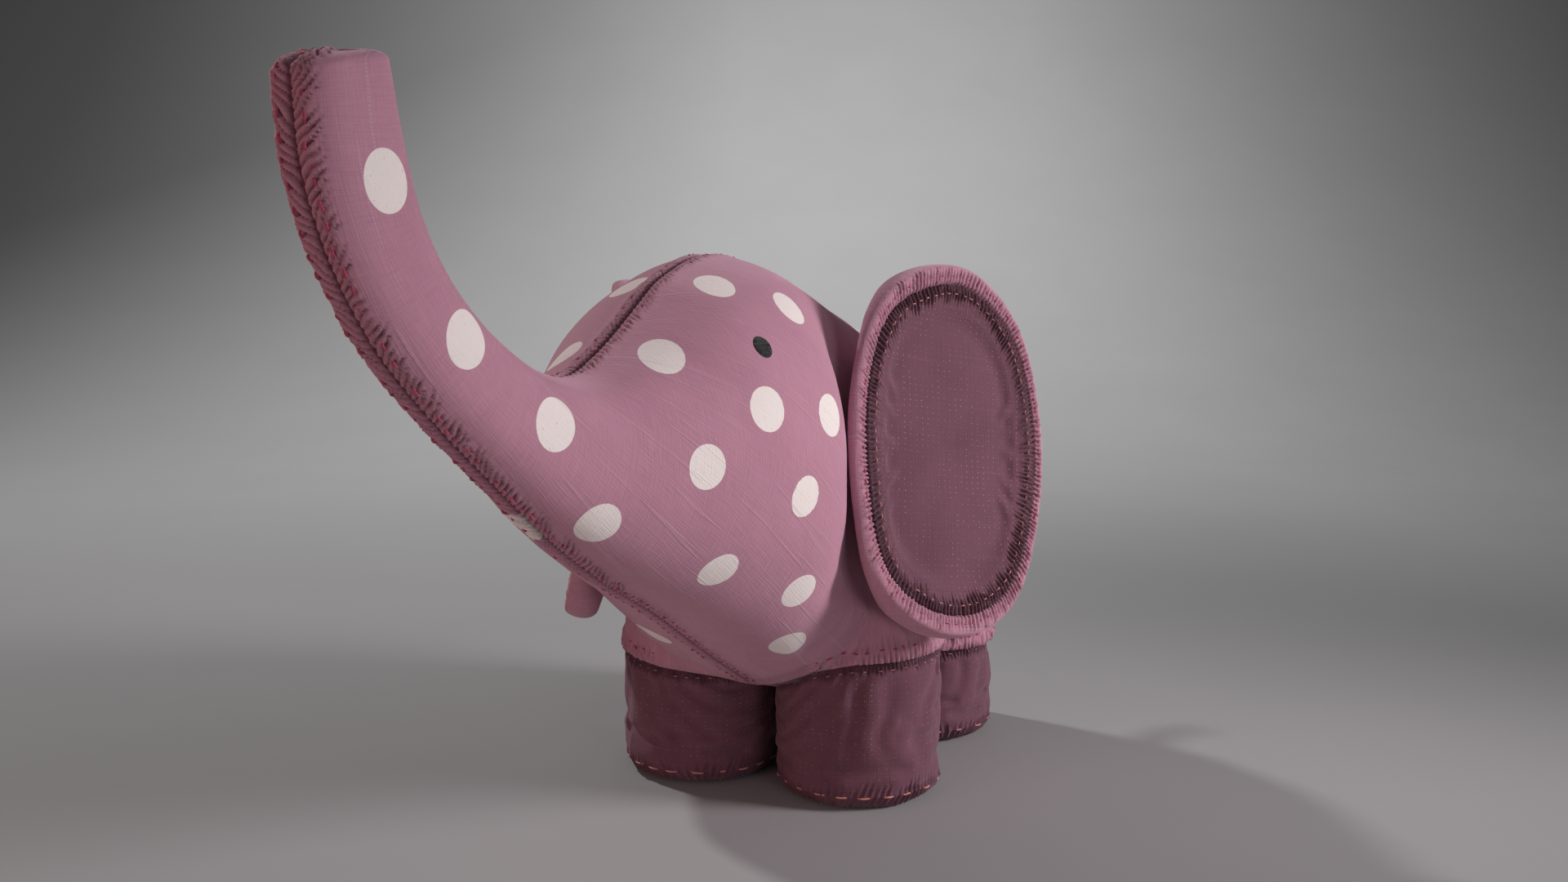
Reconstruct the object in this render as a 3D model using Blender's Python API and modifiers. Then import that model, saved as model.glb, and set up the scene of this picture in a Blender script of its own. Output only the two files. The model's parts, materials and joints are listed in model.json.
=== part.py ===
"""Stuffed elephant: sewn cotton panels over stuffing, standing on four round feet.

Metres, +Z up. The elephant looks along -Y, its left side is +X and the soles stand on Z = 0. The
dimensions below are measured from the line between the front feet; the finished elephant is then
moved back, so that the origin lies half way along its length.
Every sewn panel, every lump of stuffing and every long thread is one closed object.
"""

import math

import bmesh
import bpy
import numpy as np
from mathutils import Matrix, Vector

MM = 0.001
FRONT_FEET_Y = 47.865 * MM

# Cloth, thread and gaps
CLOTH = 1.2 * MM
GAP = 0.35 * MM
STUFFING_GAP = 0.7 * MM
THREAD_RADIUS = 0.4 * MM

# Legs
LEG_RADIUS = 31 * MM
LEG_HALF_TRACK = 34 * MM
WHEELBASE = 82 * MM
LEG_TOP = 56 * MM
FLARE_BOTTOM = 60 * MM
FLARE_TOP = 125 * MM
FLARE_START_Y = -60 * MM
FLARE_FULL_Y = -20 * MM
FLARE_INNER = 0.3
FLARE_OUTER = 0.8
FLARE_EDGE = 0.75
FOOT_ROUNDING = 6 * MM
SOLE_RADIUS = LEG_RADIUS - FOOT_ROUNDING - 0.5 * MM
SOLE_THREAD_HEIGHT = 7 * MM
SOLE_THREAD_POINTS = 32

# Ears: oval pads that open away from the head, their tops leaning in and back
EAR_HALF_WIDTH = 42.5 * MM
EAR_HALF_HEIGHT = 68 * MM
EAR_HALF_THICKNESS = 6.2 * MM
EAR_AXIS_X = 52.8 * MM
EAR_AXIS_Y = -41 * MM
EAR_CENTRE_Z = 133 * MM
EAR_SPREAD_DEG = 30
EAR_LEAN_DEG = 9
EAR_SQUARENESS = 2.3
EAR_TURN_DEG = 7
EAR_TUCK_DEPTH = 6.5 * MM
EAR_TUCK_LENGTH = 17 * MM
EAR_TUCK_HEIGHT = 54.4 * MM
EAR_FACE_MARGIN = 4.5 * MM
EAR_THREAD_INSET = 3 * MM
EAR_THREAD_POINTS = 44

# Tail
TAIL_RADIUS = 4.5 * MM
TAIL_LENGTH = 30 * MM
TAIL_ROOT_Z = 120 * MM
TAIL_TIP_SHARE = 0.7
TAIL_LIFT = 14 * MM
TAIL_ROOT_GAP = 5 * GAP

# Eyes
EYE_RADIUS = 3.8 * MM
EYE_THICKNESS = 0.8 * MM
EYE_LIFT = 0.3 * MM
EYE_PLACE = (0.54, 36.5)

# Side profile of the body, from the trunk's tip to the rump. Each station has its lowest point and
# its highest point (Y, Z), its half width, and how square it is below and above its widest level.
STATIONS = [
    ((-249.3, 228), (-225.5, 235), 8.8, 3.4, 3.4),
    ((-247, 208), (-219.5, 212), 8.8, 3.2, 3.2),
    ((-239, 188.5), (-213.5, 199.5), 8.8, 3.0, 3.0),
    ((-225.5, 170.3), (-203.3, 185.8), 9.4, 2.8, 2.8),
    ((-206, 153), (-189.5, 175.5), 10.6, 2.6, 2.6),
    ((-181, 134), (-170, 166), 13.6, 2.4, 2.4),
    ((-159, 118), (-149, 164), 20.5, 2.2, 2.2),
    ((-132, 102), (-125, 175.5), 32.0, 2.1, 2.0),
    ((-104, 87.5), (-98, 192), 44.0, 2.1, 2.0),
    ((-74, 70), (-70, 201), 51.5, 2.3, 2.0),
    ((-42, 52), (-42, 201), 52.0, 2.8, 2.0),
    ((-10, 37), (-12, 193.5), 54.0, 3.0, 2.0),
    ((28, 36), (24, 184), 57.0, 3.0, 2.0),
    ((64, 37), (60, 172), 58.0, 3.0, 2.0),
    ((94, 44), (90, 156), 52.0, 2.6, 2.0),
    ((110, 62), (108, 136), 38.0, 2.2, 2.0),
]
RUMP_END = (119, 100)
RINGS = 30
HALF_RING = 8
# Rounded ends: each tip ring is a share of the first section and its bulge beyond it, each rump ring
# the share of the way to the rump's end
TIP_RINGS = ((0.45, 2.6 * MM), (0.82, 2.2 * MM), (0.95, 1.2 * MM))
TIP_POLE = 0.2 * MM
RUMP_RINGS = (0.45, 0.8)
# Seam threads: a zigzag across each long seam
STITCH_REACH = 2.4 * MM
STITCH_STEP = 5 * MM
STITCH_SAG = 0.6
EDGE_STEP_DEG = 2.0
SEAM_START = 0.01
UNDER_SEAM_END = 0.69
TOP_SEAM_END = 0.97

# Belly gusset: rounded rectangle seen from below, just inside the legs' outer edge
BELLY_MARGIN = 5 * MM
BELLY_TOP = 60 * MM
BELLY_BASE = 10 * MM

# Colours (linear RGB)
PINK = (0.40, 0.19, 0.26)
PLUM = (0.13, 0.055, 0.085)
BLACK = (0.02, 0.02, 0.02)
WADDING = (0.80, 0.78, 0.74)
RED_THREAD = (0.50, 0.06, 0.11)
SALMON_THREAD = (0.60, 0.16, 0.16)


# ---------------------------------------------------------------- scene helpers

def clear_scene():
    for item in list(bpy.data.objects):
        bpy.data.objects.remove(item, do_unlink=True)


def new_collection(name):
    group = bpy.data.collections.new(name)
    bpy.context.scene.collection.children.link(group)
    return group


def material(name, colour, roughness=0.9):
    mat = bpy.data.materials.new(name)
    mat.use_nodes = True
    shader = mat.node_tree.nodes["Principled BSDF"]
    shader.inputs["Base Color"].default_value = (*colour, 1.0)
    shader.inputs["Roughness"].default_value = roughness
    shader.inputs["Metallic"].default_value = 0.0
    return mat


def add_object(name, data, group, mat=None):
    item = bpy.data.objects.new(name, data)
    group.objects.link(item)
    if mat:
        data.materials.append(mat)
    return item


def mesh_object(name, bm, group, mat=None):
    """Turns a bmesh into a smooth-shaded object with outward faces."""
    bmesh.ops.recalc_face_normals(bm, faces=bm.faces)
    mesh = bpy.data.meshes.new(name)
    bm.to_mesh(mesh)
    bm.free()
    mesh.shade_smooth()
    mesh.set_sharp_from_angle(angle=math.radians(40))
    return add_object(name, mesh, group, mat)


def boolean(item, operation, cutter):
    mod = item.modifiers.new(operation.title(), "BOOLEAN")
    mod.operation = operation
    mod.object = cutter
    mod.solver = "EXACT"


# ---------------------------------------------------------------- body surface

def smooth_between(values, t):
    """Catmull-Rom curve through the rows of values, with t from 0 to 1."""
    values = np.asarray(values, float)
    last = len(values) - 1
    place = min(max(t, 0.0), 1.0) * last
    i = min(int(place), last - 1)
    f = place - i
    before = values[i - 1] if i > 0 else 2 * values[0] - values[1]
    after = values[i + 2] if i + 2 <= last else 2 * values[last] - values[last - 1]
    a, b = values[i], values[i + 1]
    cubic = 3 * (a - b) + after - before
    square = 2 * before - 5 * a + 4 * b - after
    return a + 0.5 * f * (b - before + f * (square + f * cubic))


def station(t):
    """Lowest point, highest point, half width and squareness of the section at t (0 tip, 1 rump)."""
    rows = [(*low, *high, width, square_low, square_high)
            for low, high, width, square_low, square_high in STATIONS]
    row = smooth_between(rows, t)
    return row[0:2] * MM, row[2:4] * MM, row[4] * MM, row[5], row[6]


def smooth_step(value, start, end):
    f = min(max((value - start) / (end - start), 0.0), 1.0)
    return f * f * (3 - 2 * f)


def leg_flare(x, y, z, edge, half_width):
    """Side of the body at (x, y, z), widened where it flows down into a leg."""
    reach = 0.0
    for leg_y in (0.0, WHEELBASE):
        inside = LEG_RADIUS ** 2 - (y - leg_y) ** 2
        if inside > 0:
            reach = max(reach, LEG_HALF_TRACK + math.sqrt(inside))
    if z <= FLARE_BOTTOM:
        return x * (1 + above_zero(reach - edge) / edge)
    sideways = smooth_step(x, FLARE_INNER * half_width, FLARE_OUTER * half_width)
    return x + sideways * smooth_step(z, FLARE_TOP, FLARE_BOTTOM) * above_zero(reach - x)


def above_zero(value, soft=2 * MM):
    """The positive part of value, with a rounded corner at zero."""
    return 0.5 * (value + math.sqrt(value * value + soft * soft))


def body_point(t, angle):
    """Point on the body at section t; angle runs from -90 (under) over 0 (side) to 90 (top) degrees."""
    low, high, half_width, square_low, square_high = station(t)
    c, s = math.cos(math.radians(angle)), math.sin(math.radians(angle))
    power = 2 / (square_low if s < 0 else square_high)
    x = half_width * abs(c) ** power
    h = math.copysign(abs(s) ** power, s)
    y, z = (low + high) / 2 + h * (high - low) / 2
    if low[0] > FLARE_START_Y:
        centre_z = (low[1] + high[1]) / 2
        drop = min((centre_z - FLARE_BOTTOM) / (centre_z - low[1]), 1)
        edge = half_width * max((1 - drop ** square_low) ** (1 / square_low), FLARE_EDGE)
        blend = smooth_step(low[0], FLARE_START_Y, FLARE_FULL_Y)
        x += blend * (leg_flare(x, y, z, edge, half_width) - x)
    return Vector((x - ear_tuck(y, z) * x / half_width, y, z))


def ear_tuck(y, z):
    """How far the sewn ear pulls the cheek in."""
    across = (y - EAR_AXIS_Y) / EAR_TUCK_LENGTH
    up = (z - EAR_CENTRE_Z) / EAR_TUCK_HEIGHT
    return EAR_TUCK_DEPTH * math.exp(-across * across - up * up * up * up)


def body_normal(t, angle):
    """Outward direction on the body's surface."""
    dt, da = 0.002, 1.5
    along = body_point(min(t + dt, 1), angle) - body_point(max(t - dt, 0), angle)
    around = body_point(t, min(angle + da, 90)) - body_point(t, max(angle - da, -90))
    return along.cross(around).normalized()


def section_middle(t):
    """Middle of the section at t, on the elephant's middle plane."""
    low, high = station(t)[:2]
    return Vector((0, *((low + high) / 2)))


def body_hull(name, group, inset=0.0, mat=None):
    """Closed skin of body and trunk, moved inward by inset."""
    bm = bmesh.new()
    angles = [90 * math.sin(math.radians(90 * k / HALF_RING)) for k in range(-HALF_RING, HALF_RING + 1)]
    rings = []
    up_trunk = (section_middle(0) - section_middle(0.05)).normalized()

    def ring(t, scale=1.0, lift=0.0):
        right = [body_point(t, a) for a in angles]
        left = [Vector((-p.x, p.y, p.z)) for p in right[-2:0:-1]]
        points = right + left
        centre = sum(points, Vector()) / len(points)
        rings.append([bm.verts.new(centre + (p - centre) * scale + up_trunk * lift) for p in points])

    for scale, lift in TIP_RINGS:
        ring(0, scale, lift)
    for k in range(RINGS + 1):
        ring(k / RINGS)
    rump = Vector((0, RUMP_END[0] * MM, RUMP_END[1] * MM))
    last = [v.co.copy() for v in rings[-1]]
    middle = sum(last, Vector()) / len(last)
    out = rump - middle
    for share in RUMP_RINGS:
        width = math.sqrt(1 - share ** 2)
        bulge = math.sqrt(1 - (1 - share) ** 2)
        rings.append([bm.verts.new(middle + (p - middle) * width + out * share * bulge) for p in last])
    for one, two in zip(rings, rings[1:]):
        for i in range(len(one)):
            j = (i + 1) % len(one)
            bm.faces.new((one[i], one[j], two[j]))
            bm.faces.new((one[i], two[j], two[i]))
    for end, lift in ((rings[0], up_trunk * TIP_POLE), (rings[-1], None)):
        centre = sum((v.co for v in end), Vector()) / len(end)
        pole = bm.verts.new(rump if lift is None else centre + lift)
        for i in range(len(end)):
            bm.faces.new((end[i], end[(i + 1) % len(end)], pole))
    bmesh.ops.recalc_face_normals(bm, faces=bm.faces)
    bm.normal_update()
    for v in bm.verts:
        v.co -= v.normal * inset
    return mesh_object(name, bm, group, mat)


def box(name, group, low, high):
    bm = bmesh.new()
    bmesh.ops.create_cube(bm, size=1)
    size = Vector(high) - Vector(low)
    bmesh.ops.scale(bm, vec=size, verts=bm.verts)
    bmesh.ops.translate(bm, vec=(Vector(high) + Vector(low)) / 2, verts=bm.verts)
    return mesh_object(name, bm, group)


def belly_prism(name, group, margin, top):
    """Upright prism whose outline is a rounded rectangle inside the four feet."""
    radius = LEG_RADIUS - margin
    outline = []
    corners = ((1, WHEELBASE, 0), (-1, WHEELBASE, 90), (-1, 0, 180), (1, 0, 270))
    for side, centre_y, start in corners:
        for step in range(9):
            angle = math.radians(start + 90 * step / 8)
            x = side * LEG_HALF_TRACK + radius * math.cos(angle)
            outline.append((x, centre_y + radius * math.sin(angle)))
    bm = bmesh.new()
    base = bm.faces.new([bm.verts.new((x, y, BELLY_BASE)) for x, y in outline])
    sides = bmesh.ops.extrude_face_region(bm, geom=[base])
    lid = [g for g in sides["geom"] if isinstance(g, bmesh.types.BMVert)]
    bmesh.ops.translate(bm, vec=(0, 0, top - BELLY_BASE), verts=lid)
    return mesh_object(name, bm, group)


# ---------------------------------------------------------------- turned shapes and threads

def turned(name, profile, group, mat, segments=28, closed=False, axis=(0, 0, 1), stretch=(1, 1, 1)):
    """Spins a profile of (radius, height) points round an axis; closed joins its ends."""
    bm = bmesh.new()
    up = Vector(axis)
    side = Vector((1, 0, 0))
    verts = [bm.verts.new(side * r + up * h) for r, h in profile]
    pairs = list(zip(verts, verts[1:]))
    if closed:
        pairs.append((verts[-1], verts[0]))
    edges = [bm.edges.new(pair) for pair in pairs]
    bmesh.ops.spin(bm, geom=verts + edges, cent=(0, 0, 0), axis=up, angle=2 * math.pi, steps=segments,
                   use_merge=True)
    bmesh.ops.remove_doubles(bm, verts=bm.verts, dist=0.001 * MM)
    bmesh.ops.scale(bm, vec=stretch, verts=bm.verts)
    return mesh_object(name, bm, group, mat)


def arc(centre_r, centre_h, radius_r, radius_h, start, end, steps):
    """Points (radius, height) on an elliptical arc, angles in degrees."""
    points = []
    for k in range(steps + 1):
        angle = math.radians(start + (end - start) * k / steps)
        points.append((centre_r + radius_r * math.cos(angle), centre_h + radius_h * math.sin(angle)))
    return points


def thread(name, points, group, mat, closed=False):
    """A round thread through points."""
    curve = bpy.data.curves.new(name, "CURVE")
    curve.dimensions = "3D"
    curve.bevel_depth = THREAD_RADIUS
    curve.bevel_resolution = 1
    curve.use_fill_caps = True
    spline = curve.splines.new("POLY")
    spline.points.add(len(points) - 1)
    for place, point in zip(spline.points, points):
        place.co = (*point, 1)
    spline.use_cyclic_u = closed
    return add_object(name, curve, group, mat)


# ---------------------------------------------------------------- sub-assemblies

def make_body(parts, cutters, mats):
    """Two dotted side panels, the belly gusset and the stuffing inside them."""
    reach = 0.4
    seam = GAP / 2
    halves = {
        "left": box("left_half", cutters, (seam, -reach, -reach), (reach, reach, reach)),
        "right": box("right_half", cutters, (-reach, -reach, -reach), (-seam, reach, reach)),
    }
    opening = belly_prism("belly_opening", cutters, BELLY_MARGIN, BELLY_TOP)
    gusset = belly_prism("belly_gusset", cutters, BELLY_MARGIN + GAP, BELLY_TOP - GAP)
    for side, half in halves.items():
        panel = body_hull(f"side_panel_{side}", parts, mat=mats["pink"])
        shell(panel)
        boolean(panel, "INTERSECT", half)
        boolean(panel, "DIFFERENCE", opening)
    belly = body_hull("belly_panel", parts, mat=mats["plum"])
    shell(belly)
    boolean(belly, "INTERSECT", gusset)
    body_hull("body_stuffing", parts, inset=CLOTH + STUFFING_GAP, mat=mats["wadding"])


def shell(item):
    mod = item.modifiers.new("Cloth", "SOLIDIFY")
    mod.thickness = CLOTH
    mod.offset = -1


def make_leg(place, x, y, parts, body_space, mats):
    """Cloth tube, stuffing, round sole and the running stitch round the foot."""
    inner = LEG_RADIUS - CLOTH
    round_in = FOOT_ROUNDING - CLOTH
    flat = LEG_RADIUS - FOOT_ROUNDING
    outside = arc(flat, FOOT_ROUNDING, FOOT_ROUNDING, FOOT_ROUNDING, 0, -90, 5)
    inside = arc(flat, FOOT_ROUNDING, round_in, round_in, -90, 0, 5)
    profile = [(LEG_RADIUS, LEG_TOP), *outside, *inside, (inner, LEG_TOP)]
    cover = turned(f"leg_cover_{place}", profile, parts, mats["plum"], closed=True)
    fill = inner - STUFFING_GAP
    fill_round = round_in - STUFFING_GAP
    soft = arc(flat, FOOT_ROUNDING, fill_round, fill_round, -90, 0, 4)
    soft = [(0, CLOTH + STUFFING_GAP), *soft, (fill, LEG_TOP), (0, LEG_TOP)]
    stuffing = turned(f"leg_stuffing_{place}", soft, parts, mats["wadding"], segments=20)
    sole_profile = [(0, 0), (SOLE_RADIUS, 0), (SOLE_RADIUS, CLOTH), (0, CLOTH)]
    sole = turned(f"sole_{place}", sole_profile, parts, mats["plum"])
    ring = [(LEG_RADIUS + GAP + THREAD_RADIUS) * Vector((math.cos(a), math.sin(a), 0))
            for a in (2 * math.pi * k / SOLE_THREAD_POINTS for k in range(SOLE_THREAD_POINTS))]
    stitch = thread(f"sole_thread_{place}", ring, parts, mats["salmon"], closed=True)
    for item in (cover, stuffing, sole):
        item.location = (x, y, 0)
    stitch.location = (x, y, SOLE_THREAD_HEIGHT)
    for item in (cover, stuffing):
        boolean(item, "DIFFERENCE", body_space)


def make_ear(side, parts, mats):
    """Oval pad that hangs on a sewn upright edge: pink back and rim, plum face, wadding and stitch."""
    sign = 1 if side == "left" else -1
    hinge = bpy.data.objects.new(f"ear_{side}_hinge", None)
    parts.objects.link(hinge)
    hinge.location = (sign * EAR_AXIS_X, EAR_AXIS_Y, EAR_CENTRE_Z)
    turn = Matrix.Rotation(math.radians(90 - sign * EAR_SPREAD_DEG), 4, "Z")
    lean = Matrix.Rotation(math.radians(-sign * EAR_LEAN_DEG), 4, "X")
    hinge.rotation_euler = (turn @ lean).to_euler()
    front = -sign
    squash = EAR_HALF_WIDTH / EAR_HALF_HEIGHT
    stretch = (squash, front, 1)
    radius, thick = EAR_HALF_HEIGHT, EAR_HALF_THICKNESS
    rim = radius - thick
    inner = thick - CLOTH
    face_radius = radius - EAR_FACE_MARGIN
    lip = math.degrees(math.acos((face_radius + GAP - rim) / thick))
    lip_in = math.degrees(math.acos(min((face_radius + GAP - rim) / inner, 1)))
    back = [(0, -thick), *arc(rim, 0, thick, thick, -90, lip, 9),
            *arc(rim, 0, inner, inner, lip_in, -90, 8), (0, -inner)]
    face_top = thick * math.sin(math.radians(lip))
    face_under = face_top - CLOTH
    face = [(0, face_top), (face_radius, face_top), (face_radius, face_under), (0, face_under)]
    pad = inner - STUFFING_GAP
    pad_top = face_under - GAP
    pad_angle = math.degrees(math.asin(min(pad_top / pad, 1)))
    wadding = [(0, -pad), *arc(rim, 0, pad, pad, -90, pad_angle, 6), (0, pad_top)]
    shapes = (("back", back, "pink"), ("face", face, "plum"), ("wadding", wadding, "wadding"))
    pieces = [turned(f"ear_{side}_{part}", profile, parts, mats[mat], segments=32, axis=(0, 1, 0),
                     stretch=stretch) for part, profile, mat in shapes]
    stitch_radius = face_radius - EAR_THREAD_INSET
    height = front * (face_top + GAP + THREAD_RADIUS)
    loop = []
    for k in range(EAR_THREAD_POINTS):
        angle = 2 * math.pi * k / EAR_THREAD_POINTS
        across = squash * stitch_radius * math.cos(angle)
        loop.append(Vector((across, height, stitch_radius * math.sin(angle))))
    pieces.append(thread(f"ear_{side}_thread", loop, parts, mats["salmon"], closed=True))
    for item in pieces:
        points = item.data.vertices if item.type == "MESH" else item.data.splines[0].points
        for point in points:
            fuller = oval_fullness(point.co.x / squash, point.co.z)
            point.co.x *= fuller
            point.co.z *= fuller
        item.parent = hinge
        item.location = (EAR_HALF_WIDTH - thick * squash, 0, 0)
        item.rotation_euler = (0, math.radians(EAR_TURN_DEG), 0)


def oval_fullness(x, z):
    """Pushes a circle's diagonal outward, so that the ear's outline is a rounded oval."""
    radius = math.hypot(x, z)
    if radius == 0:
        return 1.0
    power = EAR_SQUARENESS
    return (abs(x / radius) ** power + abs(z / radius) ** power) ** (-1 / power)


def make_tail(parts, mats):
    """Short stuffed tail that curves upward, hung on its sewn root."""
    root_y = rump_surface_y(TAIL_ROOT_Z) + TAIL_RADIUS + TAIL_ROOT_GAP
    hinge = bpy.data.objects.new("tail_hinge", None)
    parts.objects.link(hinge)
    hinge.location = (0, root_y, TAIL_ROOT_Z)
    tip_radius = TAIL_TIP_SHARE * TAIL_RADIUS
    inner = TAIL_RADIUS - CLOTH
    outer_side = arc(0, 0, TAIL_RADIUS, TAIL_RADIUS, -70, 0, 4)
    outer_tip = arc(0, TAIL_LENGTH, tip_radius, tip_radius, 0, 90, 4)
    inner_tip = arc(0, TAIL_LENGTH, tip_radius - CLOTH, tip_radius - CLOTH, 90, 0, 3)
    inner_side = arc(0, 0, inner, inner, 0, -60, 3)
    fill = inner - GAP
    fill_tip = tip_radius - CLOTH - GAP
    taper = 1 - TAIL_TIP_SHARE
    straight = [(TAIL_RADIUS * (1 - taper * k / 4), TAIL_LENGTH * k / 4) for k in (1, 2, 3)]
    cover = [*outer_side, *straight, *outer_tip, *inner_tip,
             *[(r - CLOTH, h) for r, h in reversed(straight)], *inner_side]
    stuffing = [*arc(0, 0, fill, fill, -90, 0, 4), *[(r - CLOTH - GAP, h) for r, h in straight],
                *arc(0, TAIL_LENGTH, fill_tip, fill_tip, 0, 90, 3)]
    shapes = (("cover", cover, "pink", True), ("stuffing", stuffing, "wadding", False))
    for part, profile, mat, closed in shapes:
        item = turned(f"tail_{part}", profile, parts, mats[mat], segments=16, closed=closed,
                      axis=(0, 1, 0))
        for v in item.data.vertices:
            v.co.z += TAIL_LIFT * (max(v.co.y, 0) / TAIL_LENGTH) ** 2
        item.parent = hinge


def rump_surface_y(z):
    """How far back the body reaches on the middle plane at height z."""
    high = station(1)[1]
    top = Vector((high[0], high[1]))
    end = Vector((RUMP_END[0] * MM, RUMP_END[1] * MM))
    share = min(max((top.y - z) / (top.y - end.y), 0), 1)
    return top.x + (end.x - top.x) * math.sqrt(share)


def make_eye(side, parts, mats):
    """Flat oval of black cloth on the cheek."""
    t, angle = EYE_PLACE
    where, out = body_point(t, angle), body_normal(t, angle)
    if side == "right":
        where.x, out.x = -where.x, -out.x
    profile = [(0, 0), (EYE_RADIUS, 0), (EYE_RADIUS, EYE_THICKNESS), (0, EYE_THICKNESS)]
    eye = turned(f"eye_{side}", profile, parts, mats["black"], segments=24)
    eye.location = where + out * (GAP + EYE_LIFT)
    eye.rotation_euler = out.to_track_quat("Z", "Y").to_euler()


def seam_thread(name, angle, start, end, parts, mat):
    """Zigzag of thread across the middle seam, under the body (-90) or over it (90)."""
    points = []
    t = start
    side = 1
    while t < end:
        middle = body_point(t, angle)
        out = body_normal(t, angle * 0.999)
        out.x = 0
        out.normalize()
        lift = out * (2 * GAP + THREAD_RADIUS)
        across = Vector((side * STITCH_REACH, 0, 0))
        points.append(middle + lift + across - out * edge_drop(t, angle))
        before, after = max(t - 0.002, 0), min(t + 0.002, 1)
        speed = (body_point(after, angle) - body_point(before, angle)).length / (after - before)
        t += 0.5 * STITCH_STEP / speed
        points.append(body_point(min(t, 1), angle) + lift)
        t += 0.5 * STITCH_STEP / speed
        side = -side
    thread(name, points, parts, mat)


def edge_drop(t, angle):
    """How far the surface falls away at the stitch's reach from the seam."""
    middle = body_point(t, angle)
    near = angle
    while abs(body_point(t, near).x) < STITCH_REACH:
        near -= math.copysign(EDGE_STEP_DEG, angle)
    there = body_point(t, near)
    flat = Vector((0, there.y - middle.y, there.z - middle.z))
    return STITCH_SAG * flat.length


def build():
    clear_scene()
    parts = new_collection("stuffed_elephant")
    cutters = new_collection("cutters")
    mats = {
        "pink": material("pink_cotton", PINK),
        "plum": material("plum_cotton", PLUM),
        "black": material("black_cotton", BLACK, 0.8),
        "wadding": material("polyester_wadding", WADDING, 1.0),
        "red": material("red_thread", RED_THREAD, 0.7),
        "salmon": material("salmon_thread", SALMON_THREAD, 0.7),
    }
    make_body(parts, cutters, mats)
    body_space = body_hull("body_space", cutters, inset=-GAP)
    for end, y in (("front", 0.0), ("rear", WHEELBASE)):
        for side, x in (("left", LEG_HALF_TRACK), ("right", -LEG_HALF_TRACK)):
            make_leg(f"{end}_{side}", x, y, parts, body_space, mats)
    for side in ("left", "right"):
        make_ear(side, parts, mats)
        make_eye(side, parts, mats)
    make_tail(parts, mats)
    seam_thread("underside_seam_thread", -90, SEAM_START, UNDER_SEAM_END, parts, mats["red"])
    seam_thread("top_seam_thread", 90, SEAM_START, TOP_SEAM_END, parts, mats["red"])
    for item in (*parts.objects, *cutters.objects):
        if item.parent is None:
            item.location.y += FRONT_FEET_Y
    for item in cutters.objects:
        item.hide_render = True
        item.display_type = "WIRE"


build()
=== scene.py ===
"""Stuffed elephant: sewn cotton covers, gathered seams, stitches and soft folds over the fixed frame.

Lengths inside the functions are millimetres; meshes are written in metres, +Z up.
The elephant looks along -Y and its left side is +X.
"""

import json
import math

import bmesh
import bpy
import numpy as np
from mathutils import Matrix, Vector


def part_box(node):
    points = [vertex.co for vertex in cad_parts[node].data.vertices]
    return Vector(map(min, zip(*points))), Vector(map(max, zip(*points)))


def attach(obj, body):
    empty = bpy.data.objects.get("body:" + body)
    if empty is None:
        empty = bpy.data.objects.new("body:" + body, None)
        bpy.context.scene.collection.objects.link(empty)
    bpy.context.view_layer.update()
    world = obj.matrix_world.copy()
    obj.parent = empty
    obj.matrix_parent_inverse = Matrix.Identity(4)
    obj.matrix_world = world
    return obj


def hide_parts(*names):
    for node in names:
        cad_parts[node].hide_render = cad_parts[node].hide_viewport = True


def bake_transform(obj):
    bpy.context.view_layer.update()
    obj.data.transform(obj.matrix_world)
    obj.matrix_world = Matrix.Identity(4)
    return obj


MM = 0.001
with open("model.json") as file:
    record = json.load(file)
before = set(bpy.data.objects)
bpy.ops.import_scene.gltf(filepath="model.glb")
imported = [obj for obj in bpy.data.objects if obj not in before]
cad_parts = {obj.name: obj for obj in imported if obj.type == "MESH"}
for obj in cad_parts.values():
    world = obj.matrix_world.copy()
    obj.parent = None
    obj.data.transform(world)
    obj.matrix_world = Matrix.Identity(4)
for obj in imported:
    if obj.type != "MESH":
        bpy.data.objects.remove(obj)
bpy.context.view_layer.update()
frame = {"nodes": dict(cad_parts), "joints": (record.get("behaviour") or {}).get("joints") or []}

# ---- places read from the frame


def box_mm(node):
    low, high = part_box(node)
    return np.array(low) / MM, np.array(high) / MM


SOLE_LOW, SOLE_HIGH = box_mm("sole_front_left")
REAR_LOW, REAR_HIGH = box_mm("sole_rear_left")
LEG_LOW, LEG_HIGH = box_mm("leg_cover_front_left")
ORIGIN_Y = (SOLE_LOW[1] + SOLE_HIGH[1]) / 2
FRONT_FEET = Vector((0, ORIGIN_Y * MM, 0))
HALF_TRACK = (SOLE_LOW[0] + SOLE_HIGH[0]) / 2
WHEELBASE = (REAR_LOW[1] + REAR_HIGH[1]) / 2 - ORIGIN_Y
LEG_RADIUS = (LEG_HIGH[0] - LEG_LOW[0]) / 2
JOINTS = {j["name"]: j for j in frame["joints"]}
EAR_X, EAR_Y, EAR_Z = (np.array(JOINTS["ear_left_flap"]["pos_m"]) / MM - (0, ORIGIN_Y, 0))

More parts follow.
